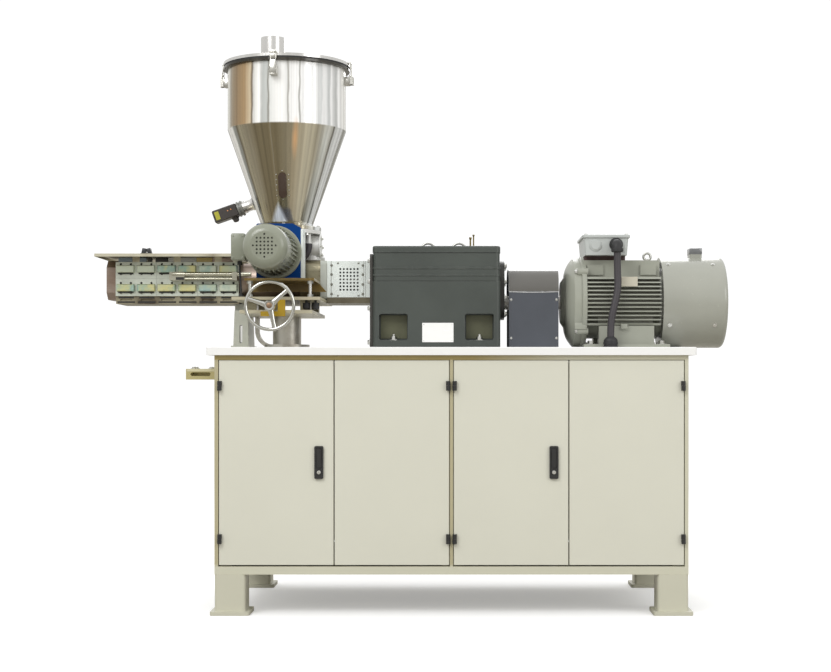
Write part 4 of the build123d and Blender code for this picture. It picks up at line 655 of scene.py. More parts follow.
turn(form, [(0, 0.0045), (0.018, 0.0045), (0.0215, 0.002), (0.0225, 0)],
     (blank_x, -0.0868, blank_z), (0, -1, 0), 40)
turn(form, [(0, 0.0025), (0.0145, 0.0025), (0.016, 0)], (blank_x, -0.0913, blank_z), (0, -1, 0), 40)
add_piece("terminal_blank", form, box_grey)
form = bmesh.new()
for x in (0.584, 0.721):
    for y in (-0.08, 0.145):
        turn(form, [(0, 0.004), (0.0045, 0.004), (0.006, 0.002), (0.006, 0)],
             (x, y, terminal_box_top), (0, 0, 1), 20)
add_piece("terminal_box_screws", form, plated)
form = bmesh.new()
block(form, (0.9498, 0.0168, 1.191), (0.9932, 0.0782, 1.2127), 0.002)
smoke_glass = painted("smoked_cover", (0.16, 0.165, 0.17), roughness=0.12, wear=0.0, coat=0.6,
                      mottle=0.6)
add_piece("cowl_box_cover", form, smoke_glass)
elbow_x, elbow_y, elbow_z, elbow_bend, elbow_radius = 0.6855, -0.1165, 1.216, 0.016, 0.0165
terminal_box_wall, table_fitting = -0.0875, (0.6625, -0.1415, 0.865)
form = bmesh.new()
turn(form, [
    (0, 0), (0.022, 0), (0.023, 0.001), (0.023, 0.007), (0.021, 0.009), (0.019, 0.009),
    (0.019, 0.02), (0.0178, 0.022), (0.0178, 0.03), (0, 0.03),
], (elbow_x, terminal_box_wall, elbow_z), (0, -1, 0), 40)
rings = []
for step in range(9):
    turned = math.pi / 2 * step / 8
    middle = Vector((elbow_x, elbow_y - elbow_bend * math.sin(turned),
                     elbow_z - elbow_bend * (1 - math.cos(turned))))
    up = Vector((0, -math.sin(turned), math.cos(turned)))
    rings.append(ring(form, middle, Vector((elbow_radius, 0, 0)), up * elbow_radius))
skin(form, rings)
turn(form, [(0, 0), (0.0195, 0), (0.0205, -0.001), (0.0205, -0.0105), (0.018, -0.0125),
            (0.0125, -0.0125), (0, -0.0125)],
     (elbow_x, elbow_y - elbow_bend, elbow_z - elbow_bend), (0, 0, 1))
turn(form, [
    (0, 0), (0.025, 0), (0.025, 0.006), (0.0235, 0.007), (0.0235, 0.012), (0.025, 0.013),
    (0.025, 0.019), (0.0235, 0.02), (0.0235, 0.024), (0.0225, 0.028), (0.018, 0.034),
    (0.0125, 0.038), (0, 0.038),
], table_fitting, (0, 0, 1), 40)
fittings = add_piece("motor_cable_fittings", form, black_rubber)
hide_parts("cable_fittings")
dress(black_rubber, "feeder_cable_ends")

# Barrel: a machined steel barrel with three cast heater zones, plated clamp plates on both
# faces, an air duct below and a sheet cover above.
for finish, colour, roughness, grain, stain, staining, parts in (
    ("barrel_steel", (0.36, 0.29, 0.245), 0.35, (30, 400, 400), (0.22, 0.14, 0.09), 0.5,
     ["barrel"]),
    ("throat_steel", (0.36, 0.33, 0.23), 0.3, (40, 160, 160), (0.14, 0.11, 0.06), 0.7,
     ["feed_throat", "plate_blocks"]),
    ("heater_casting", (0.66, 0.7, 0.62), 0.42, (30, 30, 220), (0.35, 0.37, 0.3), 0.5, ["heaters"]),
    ("duct_casting", (0.34, 0.31, 0.22), 0.42, (60, 60, 60), (0.07, 0.05, 0.035), 0.9,
     ["air_duct"]),
    ("cover_sheet", (0.62, 0.59, 0.46), 0.4, (20, 400, 400), (0.22, 0.17, 0.11), 0.5,
     ["barrel_cover"]),
    ("base_bar", (0.2, 0.18, 0.13), 0.42, (20, 400, 400), (0.08, 0.06, 0.04), 0.5, ["guard_base"]),
):
    dress(metal(finish, colour, roughness, grain, stain, staining), *parts)
pipe_steel = metal("pipe_steel", (0.55, 0.54, 0.44), roughness=0.25, grain=(4, 60, 60),
                   staining=0.3, bump=0.002)
dress(pipe_steel, "oil_pipes")
pipes_low, pipes_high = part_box("oil_pipes")
form = bmesh.new()
turn(form, [(0, -0.0005), (0.004, 0.0005), (0.0082, 0.009), (0.0082, 0.053), (0, 0.053)],
     (pipes_low[0], pipes_low[1] + 0.0062, pipes_high[2] - 0.0078), (1, 0, 0))
add_piece("oil_pipe_tip", form, pipe_steel)
barrel_left, clamp_pitch, row_pitch = -1.0165, 0.07, 0.064
tinted, tree, shader = new_material("passivated_zinc")
place = node(tree, "ShaderNodeTexCoord").outputs["Object"]
cells = vectors(tree, "MULTIPLY", place, (1 / clamp_pitch, 3.0, 1 / row_pitch))
cells = vectors(tree, "FLOOR", vectors(tree, "ADD", cells, (0.5857, 0.5, 0.5)))
drawn = node(tree, "ShaderNodeTexWhiteNoise", [("Vector", cells)]).outputs["Value"]
pick = maths(tree, "MULTIPLY_ADD", noise(tree, place, 28.0, 4.0), 0.9, drawn)
film = colour_ramp(tree, maths(tree, "SUBTRACT", pick, 0.25), [
    (0.12, (0.4, 0.57, 0.55)), (0.38, (0.62, 0.68, 0.48)), (0.6, (0.72, 0.68, 0.33)),
    (0.8, (0.38, 0.55, 0.48)), (1.0, (0.66, 0.72, 0.58)),
])
feed(shader, [("Base Color", film["Color"]), ("Metallic", 0.75), ("Roughness", 0.35)])
dress(tinted, "clamp_blocks")
# Near-black paint for dark slots and screws, and for painted shadow.
dark_slot_and_shadow = painted("dark_slot_and_shadow", (0.02, 0.019, 0.017), roughness=0.5, wear=0.0, coat=0.0)
# A dark block on the lower half of the pipe end's fitting: painted shadow under the rod.
form = bmesh.new()
block(form, (pipes_low[0] + 0.022, pipes_low[1] - 0.0005, pipes_high[2] - 0.027),
      (pipes_low[0] + 0.05, pipes_low[1] + 0.001, pipes_high[2] - 0.0175), 0.0005, 1)
add_piece("oil_pipe_painted_shadow", form, dark_slot_and_shadow)
strip_front, strip_back, strip_low, strip_high = -0.0465, -0.024, 1.1602, 1.1755
for strip_name, colour, spans in (
    ("strip_blue", (0.2, 0.25, 0.3), ((-1.007, -0.9117),)),
    ("strip_black", (0.015, 0.014, 0.014), ((-0.9066, -0.8947), (-0.881, -0.84))),
    ("strip_grey", (0.42, 0.43, 0.42), ((-0.837, -0.741),)),
    ("strip_yellow", (0.5, 0.4, 0.16), ((-0.741, -0.6866),)),
    ("strip_pink", (0.42, 0.32, 0.27), ((-0.686, -0.618),)),
):
    form = bmesh.new()
    for left, right in spans:
        block(form, (left, strip_front, strip_low), (right, strip_back, strip_high), 0.0012)
    strip = painted(strip_name, colour, roughness=0.4, wear=0.2, worn=(0.3, 0.3, 0.28))
    add_piece(f"barrel_{strip_name}", form, strip)
form = bmesh.new()
for x, tilt, wide in ((-0.9005, 0.2, 0.007), (-0.8835, -0.25, 0.0065)):
    socket_seat = Matrix.Translation((x, -0.135, 1.1895)) @ Matrix.Rotation(tilt, 4, "Y")
    block(form, (-wide, -0.011, -0.01), (wide, 0.011, 0.01), 0.0015, seat=socket_seat)
block(form, (-0.911, -0.15, 1.181), (-0.872, -0.12, 1.183), 0.0008, 1)
socket_black = painted("socket_moulding", (0.03, 0.032, 0.035), roughness=0.35, wear=0.2,
                       worn=(0.2, 0.2, 0.2))
add_piece("cover_sockets", form, socket_black)
heater_half, duct_half, row_high = 0.095, 0.088, 1.136
clamp_xs = [barrel_left + clamp_pitch * (step + 0.5) for step in range(6)]
# Thin dark bars under each clamp plate on both heater faces are painted shadow; the pairs of bars
# on the duct faces are its dark slots.
form = bmesh.new()
screws = bmesh.new()
for side in (-1, 1):
    face = middle_y + side * heater_half
    for row in (row_high, row_high - row_pitch):
        for x in clamp_xs:
            block(form, (x - 0.026, face, row - 0.0175),
                  (x + 0.026, face + side * 0.004, row - 0.0125), 0.0005, 1)
            for across in (-0.017, 0.017):
                turn(screws, [(0, 0.006), (0.0035, 0.006), (0.0045, 0.004), (0.0045, 0)],
                     (x + across, face, row - 0.0155), (0, side, 0), 12)
                turn(screws, [(0, 0.003), (0.003, 0.003), (0.004, 0)],
                     (x + across, face, row + 0.0165), (0, side, 0), 12)
    face = middle_y + side * duct_half
    for x in clamp_xs:
        for wide, deep, low, high in ((0.03, 0.001, 1.021, 1.0265), (0.026, 0.002, 1.0365, 1.0415)):
            block(form, (x - wide, face - deep, low), (x + wide, face + deep, high), 0.0004, 1)
add_piece("heater_shadow_lines_and_slots", form, dark_slot_and_shadow)
add_piece("heater_screws", screws, dark_slot_and_shadow)

# Perforated guard: a punched white sheet channel over the twin shafts, folded at its ends
# and bolted between the feed throat's painted flange and the gearbox.
guard_white = painted("white_guard_enamel", (0.8, 0.85, 0.82), roughness=0.35, wear=0.4,
                      worn=(0.4, 0.42, 0.4))
dress(guard_white, "perforated_guard", "worm_side_plate")
channel_faces = ((middle_y - 0.092, -1), (middle_y + 0.092, 1))
fold_left, fold_right, fold_last = -0.2815, -0.1705, -0.164
fold_low, fold_high, flange_bolts_x = 1.0405, 1.1635, -0.3185
form = bmesh.new()
for y, out in channel_faces:
    for z in (1.051, 1.084, 1.118, 1.149):
        for x in (fold_left + 0.001, fold_right - 0.0035):
            bolt(form, (x, y, z), (0, out, 0), 0.0046, 0.003)
    for z in (1.0455, 1.1565):
        for x in (-0.2585, -0.1885):
            turn(form, [(0, 0.0016), (0.002, 0.0014), (0.0035, 0.0006), (0.0035, 0)],
                 (x, y, z), (0, out, 0), 16)
for z in (1.05, 1.15):
    for y in (middle_y - 0.0675, middle_y + 0.0675):
        bolt(form, (flange_bolts_x, y, z), (-1, 0, 0), 0.012)
dark_screws_and_shade = metal("dark_screws_and_shade", (0.28, 0.28, 0.25), roughness=0.4, staining=0.4)
add_piece("guard_bolts", form, dark_screws_and_shade)
form = bmesh.new()
for y, out in channel_faces:
    for left, right in ((-0.2962, fold_left - 0.001), (fold_right + 0.001, fold_last - 0.0005),
                        (fold_last + 0.0005, -0.1458)):
        block(form, (left, y, 1.0395), (right, y + out * 0.0012, 1.1605), 0.0005, 1)
add_piece("guard_flange_strips", form, guard_white)
flange_left, flange_right, flange_z = -0.3183, -0.2966, 1.1
flange_half_width, flange_half_height, flange_corner = 0.095, 0.065, 0.012
flange_under, flange_over = -0.0004, 0.0007
form = bmesh.new()
rings = []
for reach, x in ((flange_under, flange_left), (flange_over, flange_left),
                 (flange_over, flange_right), (flange_under, flange_right)):
    loop = []
    for quarter, (side, up) in enumerate(((1, 1), (-1, 1), (-1, -1), (1, -1))):
        corner_y = middle_y + (flange_half_width - flange_corner) * side
        corner_z = flange_z + (flange_half_height - flange_corner) * up
        for step in range(7):
            turned = math.pi / 2 * (quarter + step / 6)
            loop.append(form.verts.new((
                x, corner_y + (flange_corner + reach) * math.cos(turned),
                corner_z + (flange_corner + reach) * math.sin(turned))))
    rings.append(loop)
skin(form, rings + rings[:1])
flange_grey = painted("flange_enamel", (0.5, 0.52, 0.47), roughness=0.4, wear=0.5,
                      worn=(0.28, 0.27, 0.22), mottle=0.3)
add_piece("throat_flange_band", form, flange_grey)
# Thin dark strips down the channel's faces at each fold: painted shade in the folds.
form = bmesh.new()
for y, out in channel_faces:
    for x in (fold_left, fold_right, fold_last):
        block(form, (x - 0.0007, y - 0.0004, fold_low), (x + 0.0007, y + 0.0004, fold_high))
add_piece("guard_fold_shade_lines", form, dark_screws_and_shade)

# Pedestal, plates and stand under the barrel: a turned column, two cream plates and a flared
# casting, bolted to the table.
pedestal_steel = metal("pedestal_steel", (0.66, 0.64, 0.58), roughness=0.36, grain=(60, 60, 9),
                       stain=(0.24, 0.19, 0.13), staining=0.7, metallic=0.55)
dress(pedestal_steel, "pedestal")
plate_cream = painted("plate_enamel", (0.5, 0.46, 0.33), roughness=0.35, wear=0.5,
                      worn=(0.3, 0.24, 0.13))
dress(plate_cream, "slide_plates")
shelf_ochre = painted("shelf_enamel", (0.18, 0.115, 0.018), roughness=0.3, wear=0.9,
                      worn=(0.4, 0.32, 0.16), edge_width=0.006)
dress(shelf_ochre, "feeder_shelf")
stand_grey = painted("stand_enamel", (0.48, 0.49, 0.42), roughness=0.35, wear=0.4,
                     worn=(0.3, 0.3, 0.28))
dress(stand_grey, "barrel_stand")
stand_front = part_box("barrel_stand")[0][1] + 0.015
slot_left, slot_right, slot_low, slot_high = -0.5942, -0.5867, 0.8865, 0.9435
# A white strip set inside the stand's slot, which paints the slot bright: painted light.
form = bmesh.new()
block(form, (slot_left, stand_front + 0.007, slot_low),
      (slot_right, stand_front + 0.01, slot_high), 0.0005, 1)
add_piece("stand_slot_painted_light", form, white_top)
dress(plated, "shelf_studs")
dress(black_rubber, "clamp_knobs")
yellow = painted("yellow_enamel", (0.5, 0.32, 0.012), roughness=0.35, wear=0.5,
                 worn=(0.28, 0.2, 0.04), mottle=0.3)
dress(yellow, "wheel_bracket")

# Handwheel: a chromed ring on three oval spokes, cast with its hub, on the adjusting screw,
# whose bare steel end shows in the middle.
wheel_middle = Vector((-0.4535, -0.3525, 0.998))
toward = (0, -1, 0)
rim_radius, rim_thick = 0.077, 0.0055
form = bmesh.new()
turn(form, [(rim_radius + rim_thick * math.cos(turned), rim_thick * math.sin(turned))
            for turned in circle(16)], wheel_middle, toward, 96, closed=True)
turn(form, [(0.0095, 0.0145), (0.0145, 0.015), (0.017, 0.013), (0.018, 0.011), (0.018, -0.013),
            (0.0155, -0.015), (0.006, -0.015)], wheel_middle, toward, 48, closed=True)
for degrees in (162, 42, -78):
    along = Vector((math.cos(math.radians(degrees)), 0, math.sin(math.radians(degrees))))
    across = Vector((-along.z, 0, along.x))
    skin(form, [
        ring(form, wheel_middle + along * reach, across * wide, Vector((0, thick, 0)), 20)
        for reach, wide, thick in ((0.013, 0.0105, 0.0066), (0.03, 0.0082, 0.0054),
                                   (0.055, 0.0068, 0.0044), (0.0745, 0.0074, 0.0046))
    ])
turn(form, [(0, -0.0165), (0.006, -0.0165), (0.006, -0.12), (0, -0.12)], wheel_middle, toward, 24)
chrome = metal("chrome_plate", (0.62, 0.62, 0.58), roughness=0.12, grain=(10, 10, 10),
               staining=0.08, bump=0.01)
wheel = add_piece("handwheel_chrome", form, chrome, "handwheel")
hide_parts("handwheel")
form = bmesh.new()
turn(form, [(0, 0.0155), (0.008, 0.0155), (0.0095, 0.0145), (0.0095, 0), (0, 0)],
     wheel_middle, toward, 24)
rust = metal("bare_shaft_end", (0.3, 0.2, 0.13), roughness=0.5, staining=0.6)
add_piece("handwheel_shaft_end", form, rust, "handwheel")

# Feeder drive: a blue cast worm gearbox on the shelf, driven by a small flange motor whose
# cowl has a drilled cap.
worm_blue = painted("blue_enamel", (0.0, 0.042, 0.2), roughness=0.5, wear=0.15,
                    worn=(0.06, 0.12, 0.3), coat=0.0)
feed(worm_blue.node_tree.nodes["Principled BSDF"], [("Specular IOR Level", 0.12)])
dress(worm_blue, "worm_gearbox")
feeder_green = painted("feeder_enamel", (0.26, 0.275, 0.215), roughness=0.3, wear=0.25,
                       worn=(0.5, 0.5, 0.45), mottle=0.3, coat=0.25, bump=0.015)
dress(feeder_green, "feeder_motor", "feeder_cowl", "feeder_terminal_box")
box_low, box_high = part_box("feeder_terminal_box")
form = bmesh.new()
block(form, (box_low[0] + 0.0025, box_low[1] - 0.002, box_low[2] + 0.0035),
      (box_high[0] - 0.0025, box_low[1] + 0.002, box_high[2] - 0.0035), 0.0012)
for x in (box_low[0] + 0.008, box_high[0] - 0.008):
    for z in (box_low[2] + 0.009, box_high[2] - 0.009):
        turn(form, [(0, 0.0018), (0.002, 0.0016), (0.003, 0.001), (0.0032, 0)],
             (x, box_low[1] - 0.002, z), (0, -1, 0), 16)
add_piece("feeder_box_lid", form, feeder_green)

# Hopper, its lid and the dosing housing below: polished stainless sheet, rolled and welded,
# with a rubber seal under the lid. The sheet's colour is a painted reflection of its room in
# upright bands, with painted highlights and painted shade.
hopper_x, hopper_y = -0.4425, middle_y
cone_low_z, cone_high_z = 1.297, 1.62
cone_low_radius, cone_high_radius = 0.09, 0.204
sheen, tree, shader = new_material("polished_stainless")
place = node(tree, "ShaderNodeTexCoord").outputs["Object"]
spot = vectors(tree, "SUBTRACT", place, (hopper_x, hopper_y, 0))
spot = node(tree, "ShaderNodeSeparateXYZ", [(0, spot)]).outputs
height = spot["Z"]
swing = maths(tree, "ARCTAN2", spot["X"], maths(tree, "ABSOLUTE", spot["Y"]))
band_at = node(tree, "ShaderNodeCombineXYZ", [("X", swing), ("Z", height)]).outputs[0]
waver = noise(tree, vectors(tree, "MULTIPLY", band_at, (3.0, 1.0, 9.0)), 1.0, 2.0)
swing = maths(tree, "ADD", swing, maths(tree, "MULTIPLY_ADD", waver, 0.07, -0.035))
around = ranged(tree, swing, -math.pi / 2, math.pi / 2)
# Upright streaks that lighten and darken the sheet's colour: painted reflection streaks.
reflection_streaks = noise(tree, vectors(tree, "MULTIPLY", band_at, (9.0, 1.0, 0.35)), 1.6, 3.0)


def painted_reflection_bands(stops):
    """Painted reflection colours and a metal share that change round the sheet, from (degrees,
    colour, metal) rows.
    """
    return colour_ramp(tree, around, [
        ((degrees + 90) / 180, (*colour, share)) for degrees, colour, share in stops
    ])


# Painted reflection bands round the upright wall and round the cone, by angle from the front.
wall_reflection_bands = painted_reflection_bands([
    (-88, (0.62, 0.6, 0.53), 0.5), (-68, (0.8, 0.79, 0.72), 0.3), (-62, (0.38, 0.33, 0.25), 0.7),
    (-57, (0.36, 0.28, 0.18), 0.7), (-50, (0.34, 0.24, 0.14), 0.7), (-38, (0.5, 0.34, 0.18), 0.6),
    (-31, (0.72, 0.6, 0.42), 0.5), (-28.5, (0.16, 0.12, 0.08), 0.8), (-27, (0.93, 0.92, 0.88), 0.3),
    (-20, (1.0, 1.0, 0.98), 0.15), (-17, (0.62, 0.64, 0.62), 0.5), (-12.5, (0.7, 0.72, 0.7), 0.5),
    (-11.3, (0.25, 0.24, 0.2), 0.7), (-9.5, (0.85, 0.86, 0.84), 0.3), (-4, (1.0, 1.0, 0.98), 0.1),
    (5.5, (1.0, 1.0, 0.99), 0.1), (7, (0.45, 0.44, 0.4), 0.5), (8.5, (1.0, 1.0, 0.99), 0.1),
    (17, (1.0, 1.0, 0.99), 0.1), (18.2, (0.35, 0.35, 0.32), 0.6), (19.5, (1.0, 1.0, 1.0), 0.1),
    (30, (1.0, 1.0, 1.0), 0.05), (32.5, (0.5, 0.51, 0.5), 0.3), (34, (1.0, 1.0, 1.0), 0.0),
    (41, (0.72, 0.74, 0.74), 0.15), (42.5, (1.0, 1.0, 1.0), 0.0), (51, (0.66, 0.68, 0.68), 0.2),
    (53, (1.0, 1.0, 1.0), 0.0), (61, (0.56, 0.57, 0.56), 0.3), (64, (1.0, 1.0, 1.0), 0.05),
    (78, (0.9, 0.89, 0.85), 0.15),
])
cone_reflection_bands = painted_reflection_bands([
    (-88, (0.34, 0.31, 0.25), 0.6), (-77, (0.26, 0.24, 0.19), 0.7), (-73, (1.0, 1.0, 0.98), 0.1),
    (-60, (1.0, 1.0, 0.98), 0.15), (-57, (0.5, 0.52, 0.5), 0.6), (-53, (0.4, 0.41, 0.38), 0.7),
    (-51, (0.24, 0.21, 0.15), 0.8), (-47, (0.5, 0.46, 0.34), 0.7), (-36, (0.4, 0.36, 0.27), 0.75),
    (-26, (0.26, 0.22, 0.14), 0.8), (-5, (0.25, 0.21, 0.13), 0.8), (6, (0.34, 0.3, 0.21), 0.75),
    (13, (0.45, 0.39, 0.27), 0.7), (19, (0.54, 0.48, 0.35), 0.65), (29, (0.7, 0.65, 0.5), 0.6),
    (38, (0.52, 0.48, 0.37), 0.7), (43, (0.6, 0.58, 0.5), 0.6), (51, (0.85, 0.85, 0.8), 0.4),
    (56, (0.66, 0.66, 0.61), 0.5), (58, (0.2, 0.19, 0.16), 0.8), (60.5, (0.85, 0.87, 0.87), 0.35),
    (73, (0.95, 0.97, 0.98), 0.25), (80, (0.42, 0.42, 0.39), 0.6),
])
# Marks over the bands: an orange painted highlight high on the cone, a little right of the front; a
# dark band on the rim flange, partly the lid's gasket and partly painted shade; a dark band of
# painted shade on the neck under the cone, except at its right; and a bright painted highlight low
# on the cone, a little left of the front.
orange_highlight_swing, orange_highlight_z, orange_highlight_spread = 0.25, 1.57, (14.0, 13.0, 0.0)
low_highlight_swing, low_highlight_low_z, low_highlight_high_z = 0.17, 1.3, 1.368
below = ranged(tree, height, cone_high_z + 0.0025, cone_high_z - 0.0025)
painted_reflection = blend(tree, below, wall_reflection_bands["Color"], cone_reflection_bands["Color"])
share = node(tree, "ShaderNodeMix", [("Factor", below), (2, wall_reflection_bands["Alpha"]), (3, cone_reflection_bands["Alpha"])])
orange_highlight = node(tree, "ShaderNodeCombineXYZ", [
    ("X", maths(tree, "SUBTRACT", swing, orange_highlight_swing)), ("Y", maths(tree, "ADD", height, -orange_highlight_z)),
]).outputs[0]
orange_highlight = vectors(tree, "LENGTH", vectors(tree, "MULTIPLY", orange_highlight, orange_highlight_spread))
neck = maths(tree, "MULTIPLY", ranged(tree, height, 1.299, 1.295), ranged(tree, swing, 0.62, 0.54))
low_highlight = maths(tree, "ABSOLUTE", maths(tree, "ADD", swing, low_highlight_swing))
low_highlight = maths(tree, "ADD", maths(tree, "MULTIPLY", low_highlight, 3.0),
              ranged(tree, height, low_highlight_low_z, low_highlight_high_z))
low_highlight = maths(tree, "MULTIPLY", ranged(tree, low_highlight, 1.05, 0.6),
              ranged(tree, height, cone_low_z, cone_low_z + 0.003))
for mask, colour in (
    (ranged(tree, orange_highlight, 1.0, 0.0, 0.0, 0.9), (0.95, 0.56, 0.28, 1)),
    (ranged(tree, height, 1.8258, 1.8266), (0.05, 0.045, 0.035, 1)),
    (neck, (0.12, 0.1, 0.06, 1)),
    (low_highlight, (0.72, 0.76, 0.78, 1)),
):
    painted_reflection = blend(tree, mask, painted_reflection, colour)
share = node(tree, "ShaderNodeMix", [("Factor", low_highlight), (2, share.outputs[0]), (3, 0.1)])
ripple = node(tree, "ShaderNodeBump", [
    ("Height", noise(tree, place, 25.0, 3.0)), ("Strength", 0.03), ("Distance", 0.002),
])
feed(shader, [
    ("Base Color", scaled(tree, painted_reflection, ranged(tree, reflection_streaks, 0.3, 0.7, 0.72, 1.12))),
    ("Metallic", share.outputs[0]), ("Roughness", 0.16), ("Normal", ripple.outputs["Normal"]),
])
form = bmesh.new()
turn(form, [
    (0.087, 1.273), (0.1175, 1.273), (0.118, 1.2735), (0.118, 1.2845), (0.1175, 1.285),
    (0.092, 1.285), (0.09, 1.288), (0.09, 1.2965), (0.0905, 1.298), (0.2035, 1.6185),
    (0.204, 1.62), (0.204, 1.826), (0.2055, 1.827), (0.2165, 1.827), (0.217, 1.8275),
    (0.217, 1.8345), (0.2165, 1.835), (0.201, 1.835), (0.201, 1.62), (0.087, 1.297),
], (hopper_x, hopper_y, 0), (0, 0, 1), 160, closed=True)
hopper = add_piece("hopper_sheet", form, sheen, crease=12)
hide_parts("hopper_shell")
stainless = metal("satin_stainless", (0.74, 0.73, 0.71), roughness=0.22, grain=(60, 60, 8),
                  staining=0.12)
dress(stainless, "hopper_lid")
pale_stainless = metal("pale_stainless", (0.78, 0.78, 0.76), roughness=0.4, grain=(60, 60, 8),
                       staining=0.1, metallic=0.25)
dress(pale_stainless, "dosing_housing")
dress(black_rubber, "lid_gasket")
dark_glass = painted("sight_glass", (0.05, 0.025, 0.015), roughness=0.12, wear=0.0, coat=0.5,
                     mottle=0.2)
dress(dark_glass, "sight_window")
cone_tilt = math.atan2(cone_high_radius - cone_low_radius, cone_high_z - cone_low_z)
window_share = 0.375
window_z = cone_low_z + window_share * (cone_high_z - cone_low_z)
window_radius = cone_low_radius + window_share * (cone_high_radius - cone_low_radius)
window_seat = (Matrix.Translation((hopper_x, hopper_y - window_radius, window_z))
               @ Matrix.Rotation(math.pi / 2 + cone_tilt, 4, "X"))
window_out = (window_seat.to_3x3() @ Vector((0, 0, 1))).normalized()
rivets = [(across, up, -0.0012) for across in (-0.0205, 0.0205)
          for up in (-0.036, -0.018, 0, 0.018, 0.036)]
form = bmesh.new()
for rivet in rivets + [(0, -0.0495, -0.0005), (0, 0.0495, -0.0005)]:
    turn(form, [(0, 0.0028), (0.0009, 0.0026), (0.0018, 0.0016), (0.0018, 0)],
         window_seat @ Vector(rivet), window_out, 12)
add_piece("window_rivets", form, plated)

# Lid latches: four pressed over-centre clamps, riveted to the hopper's side, whose wire bails
# pull a hook down on the lid.
latch_low, hook_low, hook_top = 1.775, 1.85, 1.857
bail_low, bail_high = (0.2275, latch_low + 0.018), (0.2232, hook_low + 0.0035)
form = bmesh.new()
for degrees in (-5.5, 84.5, 174.5, 264.5):
    seat = (Matrix.Translation((hopper_x, hopper_y, 0))
            @ Matrix.Rotation(math.radians(degrees), 4, "Z"))
    block(form, (0.2043, -0.013, latch_low), (0.2195, 0.013, latch_low + 0.029), 0.0015, seat=seat)
    block(form, (0.2195, -0.0125, latch_low + 0.001), (0.2225, 0.0125, latch_low + 0.036), 0.0008,
          seat=seat)
    for side in (-1, 1):
        block(form, (0.2222, side * 0.0125, latch_low + 0.002),
              (0.2325, side * 0.0108, latch_low + 0.03), 0.0005, 1, seat=seat)
        foot, head = (seat @ Vector((reach, side * 0.0085, z))
                      for reach, z in (bail_low, bail_high))
        rod(form, 0.0015, (head - foot).length, foot, (head - foot).normalized())
    lever = (seat @ Matrix.Translation((0.2285, 0, latch_low + 0.003))
             @ Matrix.Rotation(-0.03, 4, "Y"))
    block(form, (0, -0.0098, 0), (0.0022, 0.0098, 0.047), 0.0008, seat=lever)
    block(form, (0.001, -0.0098, -0.002), (0.006, 0.0098, 0.0002), 0.0006, seat=lever)
    cross = (seat.to_3x3() @ Vector((0, 1, 0))).normalized()
    for (reach, z), half in ((bail_low, 0.0128), (bail_high, 0.0095)):
        rod(form, 0.0019, 2 * half, seat @ Vector((reach, -half, z)), cross)
    for near, low, far, high, bevel, segments in (
        (0.2125, 0.0003, 0.2245, 0.0022, 0.0006, 1),
        (0.2212, -0.02, 0.2238, 0.001, 0.0008, 2),
        (0.2215, -0.003, 0.2265, hook_top - hook_low, 0.0018, 2),
    ):
        block(form, (near, -0.0125, hook_low + low), (far, 0.0125, hook_low + high), bevel,
              segments, seat)
latch_sheet = metal("latch_sheet", (0.62, 0.61, 0.57), roughness=0.25, staining=0.25)
latches = add_piece("lid_latch_sheets", form, latch_sheet)
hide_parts("lid_latches")

# Joints under the hopper: a ring of bolts through the hopper's flange, a bolted end cap on
# the screw trough, a clamp round its spout, and a dark rubber elbow on a short steel stub.
joint_radius, joint_top, joint_foot = 0.108, 1.285, 1.261
trough_end, trough_z, trough_radius = -0.329, 1.22, 0.033
form = bmesh.new()
for turned in circle(8):
    x, y = hopper_x + joint_radius * math.cos(turned), hopper_y + joint_radius * math.sin(turned)
    bolt(form, (x, y, joint_top), (0, 0, 1), 0.01)
    bolt(form, (x, y, joint_foot), (0, 0, -1), 0.01)
for turned in circle(6):
    bolt(form, (trough_end + 0.005, hopper_y + trough_radius * math.cos(turned),
                trough_z + trough_radius * math.sin(turned)), (1, 0, 0), 0.008, 0.005)
add_piece("hopper_joint_bolts", form, plated)
spout_x, spout_z, clamp_low, clamp_high = -0.354, 1.1715, 1.1725, 1.1825
form = bmesh.new()
turn(form, [(0, 0), (0.0425, 0), (0.0435, 0.001), (0.0435, 0.004), (0.0425, 0.005), (0, 0.005)],
     (trough_end, hopper_y, trough_z), (1, 0, 0), 64)
turn(form, [(0.025, 0), (0.0305, 0), (0.0315, 0.001), (0.0315, 0.011), (0.0305, 0.012),
            (0.025, 0.012)], (spout_x, hopper_y, spout_z), (0, 0, 1), 48)
for side in (-1, 1):
    block(form, (spout_x + 0.0295, hopper_y + side * 0.012, clamp_low),
          (spout_x + 0.0425, hopper_y + side * 0.003, clamp_high), 0.001)
add_piece("trough_end_and_clamp", form, pale_stainless)
chute_radius, chute_y = 0.0125, -0.0085
chute = [Vector((x, chute_y, z)) for x, z in (
    (-0.3615, 1.226), (-0.362, 1.214), (-0.3655, 1.2), (-0.3725, 1.187), (-0.383, 1.176),
    (-0.396, 1.168),
)]
form = bmesh.new()
rings = []
for middle, before, after in zip(chute, chute[:1] + chute[:-1], chute[1:] + chute[-1:]):
    across = (after - before).normalized().cross(Vector((0, 1, 0)))
    rings.append(ring(form, middle, across * chute_radius, Vector((0, chute_radius, 0))))
skin(form, rings)
form.faces.new(rings[0])
form.faces.new(rings[-1])
add_piece("chute_elbow", form, charcoal)
form = bmesh.new()
turn(form, [(0, 0), (0.0105, 0), (0.0105, 0.004), (0.0078, 0.005), (0.0078, 0.034), (0, 0.034)],
     (-0.3615, chute_y, 1.2262), (0, 0, 1))
add_piece("chute_stub", form, pale_stainless)

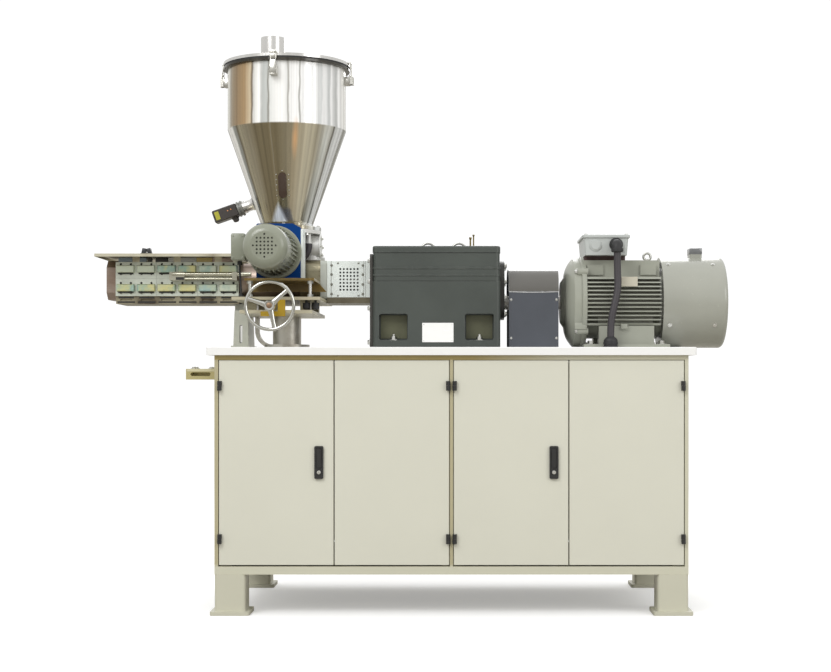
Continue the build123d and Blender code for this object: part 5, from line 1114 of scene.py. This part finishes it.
# Level probe on the cone's left: a steel stub and flange, and a moulded dark brown head with
# a blank yellow patch, two small lamps and a cable gland below.
probe_start = Vector((hopper_x - 0.11506, hopper_y, 1.368))
probe_along = Vector((-math.cos(cone_tilt), 0, -math.sin(cone_tilt)))
probe_down = Vector((math.sin(cone_tilt), 0, -math.cos(cone_tilt)))
probe_seat = Matrix((
    (0, probe_down.x, probe_along.x, probe_start.x),
    (1, probe_down.y, probe_along.y, probe_start.y),
    (0, probe_down.z, probe_along.z, probe_start.z),
    (0, 0, 0, 1),
))
form = bmesh.new()
turn(form, [
    (0, 0.0008), (0.0225, 0.0012), (0.0205, 0.006), (0.0192, 0.008), (0.0192, 0.026),
    (0.0215, 0.027), (0.0215, 0.0385), (0, 0.0385),
], probe_start, probe_along, 48)
probe_stub = add_piece("probe_stub", form, stainless)
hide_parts("level_probe")
form = bmesh.new()
turn(form, [
    (0, 0.0385), (0.026, 0.0385), (0.027, 0.0395), (0.027, 0.0455), (0.0235, 0.0465),
    (0.0235, 0.0505), (0.0268, 0.0515), (0.0268, 0.0572), (0.0258, 0.0582), (0, 0.0582),
], probe_start, probe_along, 48)
probe_grey = painted("probe_collar", (0.2, 0.2, 0.18), roughness=0.35, wear=0.4,
                     worn=(0.4, 0.4, 0.38))
add_piece("probe_collar", form, probe_grey)
form = bmesh.new()
block(form, (-0.025, -0.022, 0.0585), (0.025, 0.022, 0.1455), 0.005, 4, probe_seat)
block(form, (-0.0256, -0.019, 0.0635), (-0.0244, 0.019, 0.1405), 0.0005, 1, probe_seat)
turn(form, [(0, 0), (0.0125, 0), (0.0125, 0.006), (0.0105, 0.007), (0.0105, 0.013), (0.007, 0.017),
            (0, 0.017)], probe_seat @ Vector((0, 0.0215, 0.076)), probe_down, 6)
probe_dark = painted("probe_moulding", (0.04, 0.032, 0.028), roughness=0.35, wear=0.4,
                     worn=(0.2, 0.19, 0.17), mottle=0.5)
add_piece("probe_head", form, probe_dark)
form = bmesh.new()
block(form, (-0.0262, -0.0145, 0.1225), (-0.025, 0.0145, 0.138), 0.0003, 1, probe_seat)
patch_yellow = painted("patch_yellow", (0.42, 0.4, 0.03), roughness=0.4, wear=0.3,
                       worn=(0.12, 0.1, 0.03), mottle=0.8)
add_piece("probe_patch", form, patch_yellow)
form = bmesh.new()
for reach, drop in ((0.079, -0.006), (0.091, -0.005)):
    turn(form, [(0, 0.0018), (0.0012, 0.0015), (0.0022, 0.0006), (0.0023, 0)],
         probe_seat @ Vector((-0.0256, drop, reach)), (0, -1, 0), 16)
lamp_orange = painted("lamp_orange", (0.75, 0.3, 0.1), roughness=0.25, wear=0.0)
add_piece("probe_lamps", form, lamp_orange)
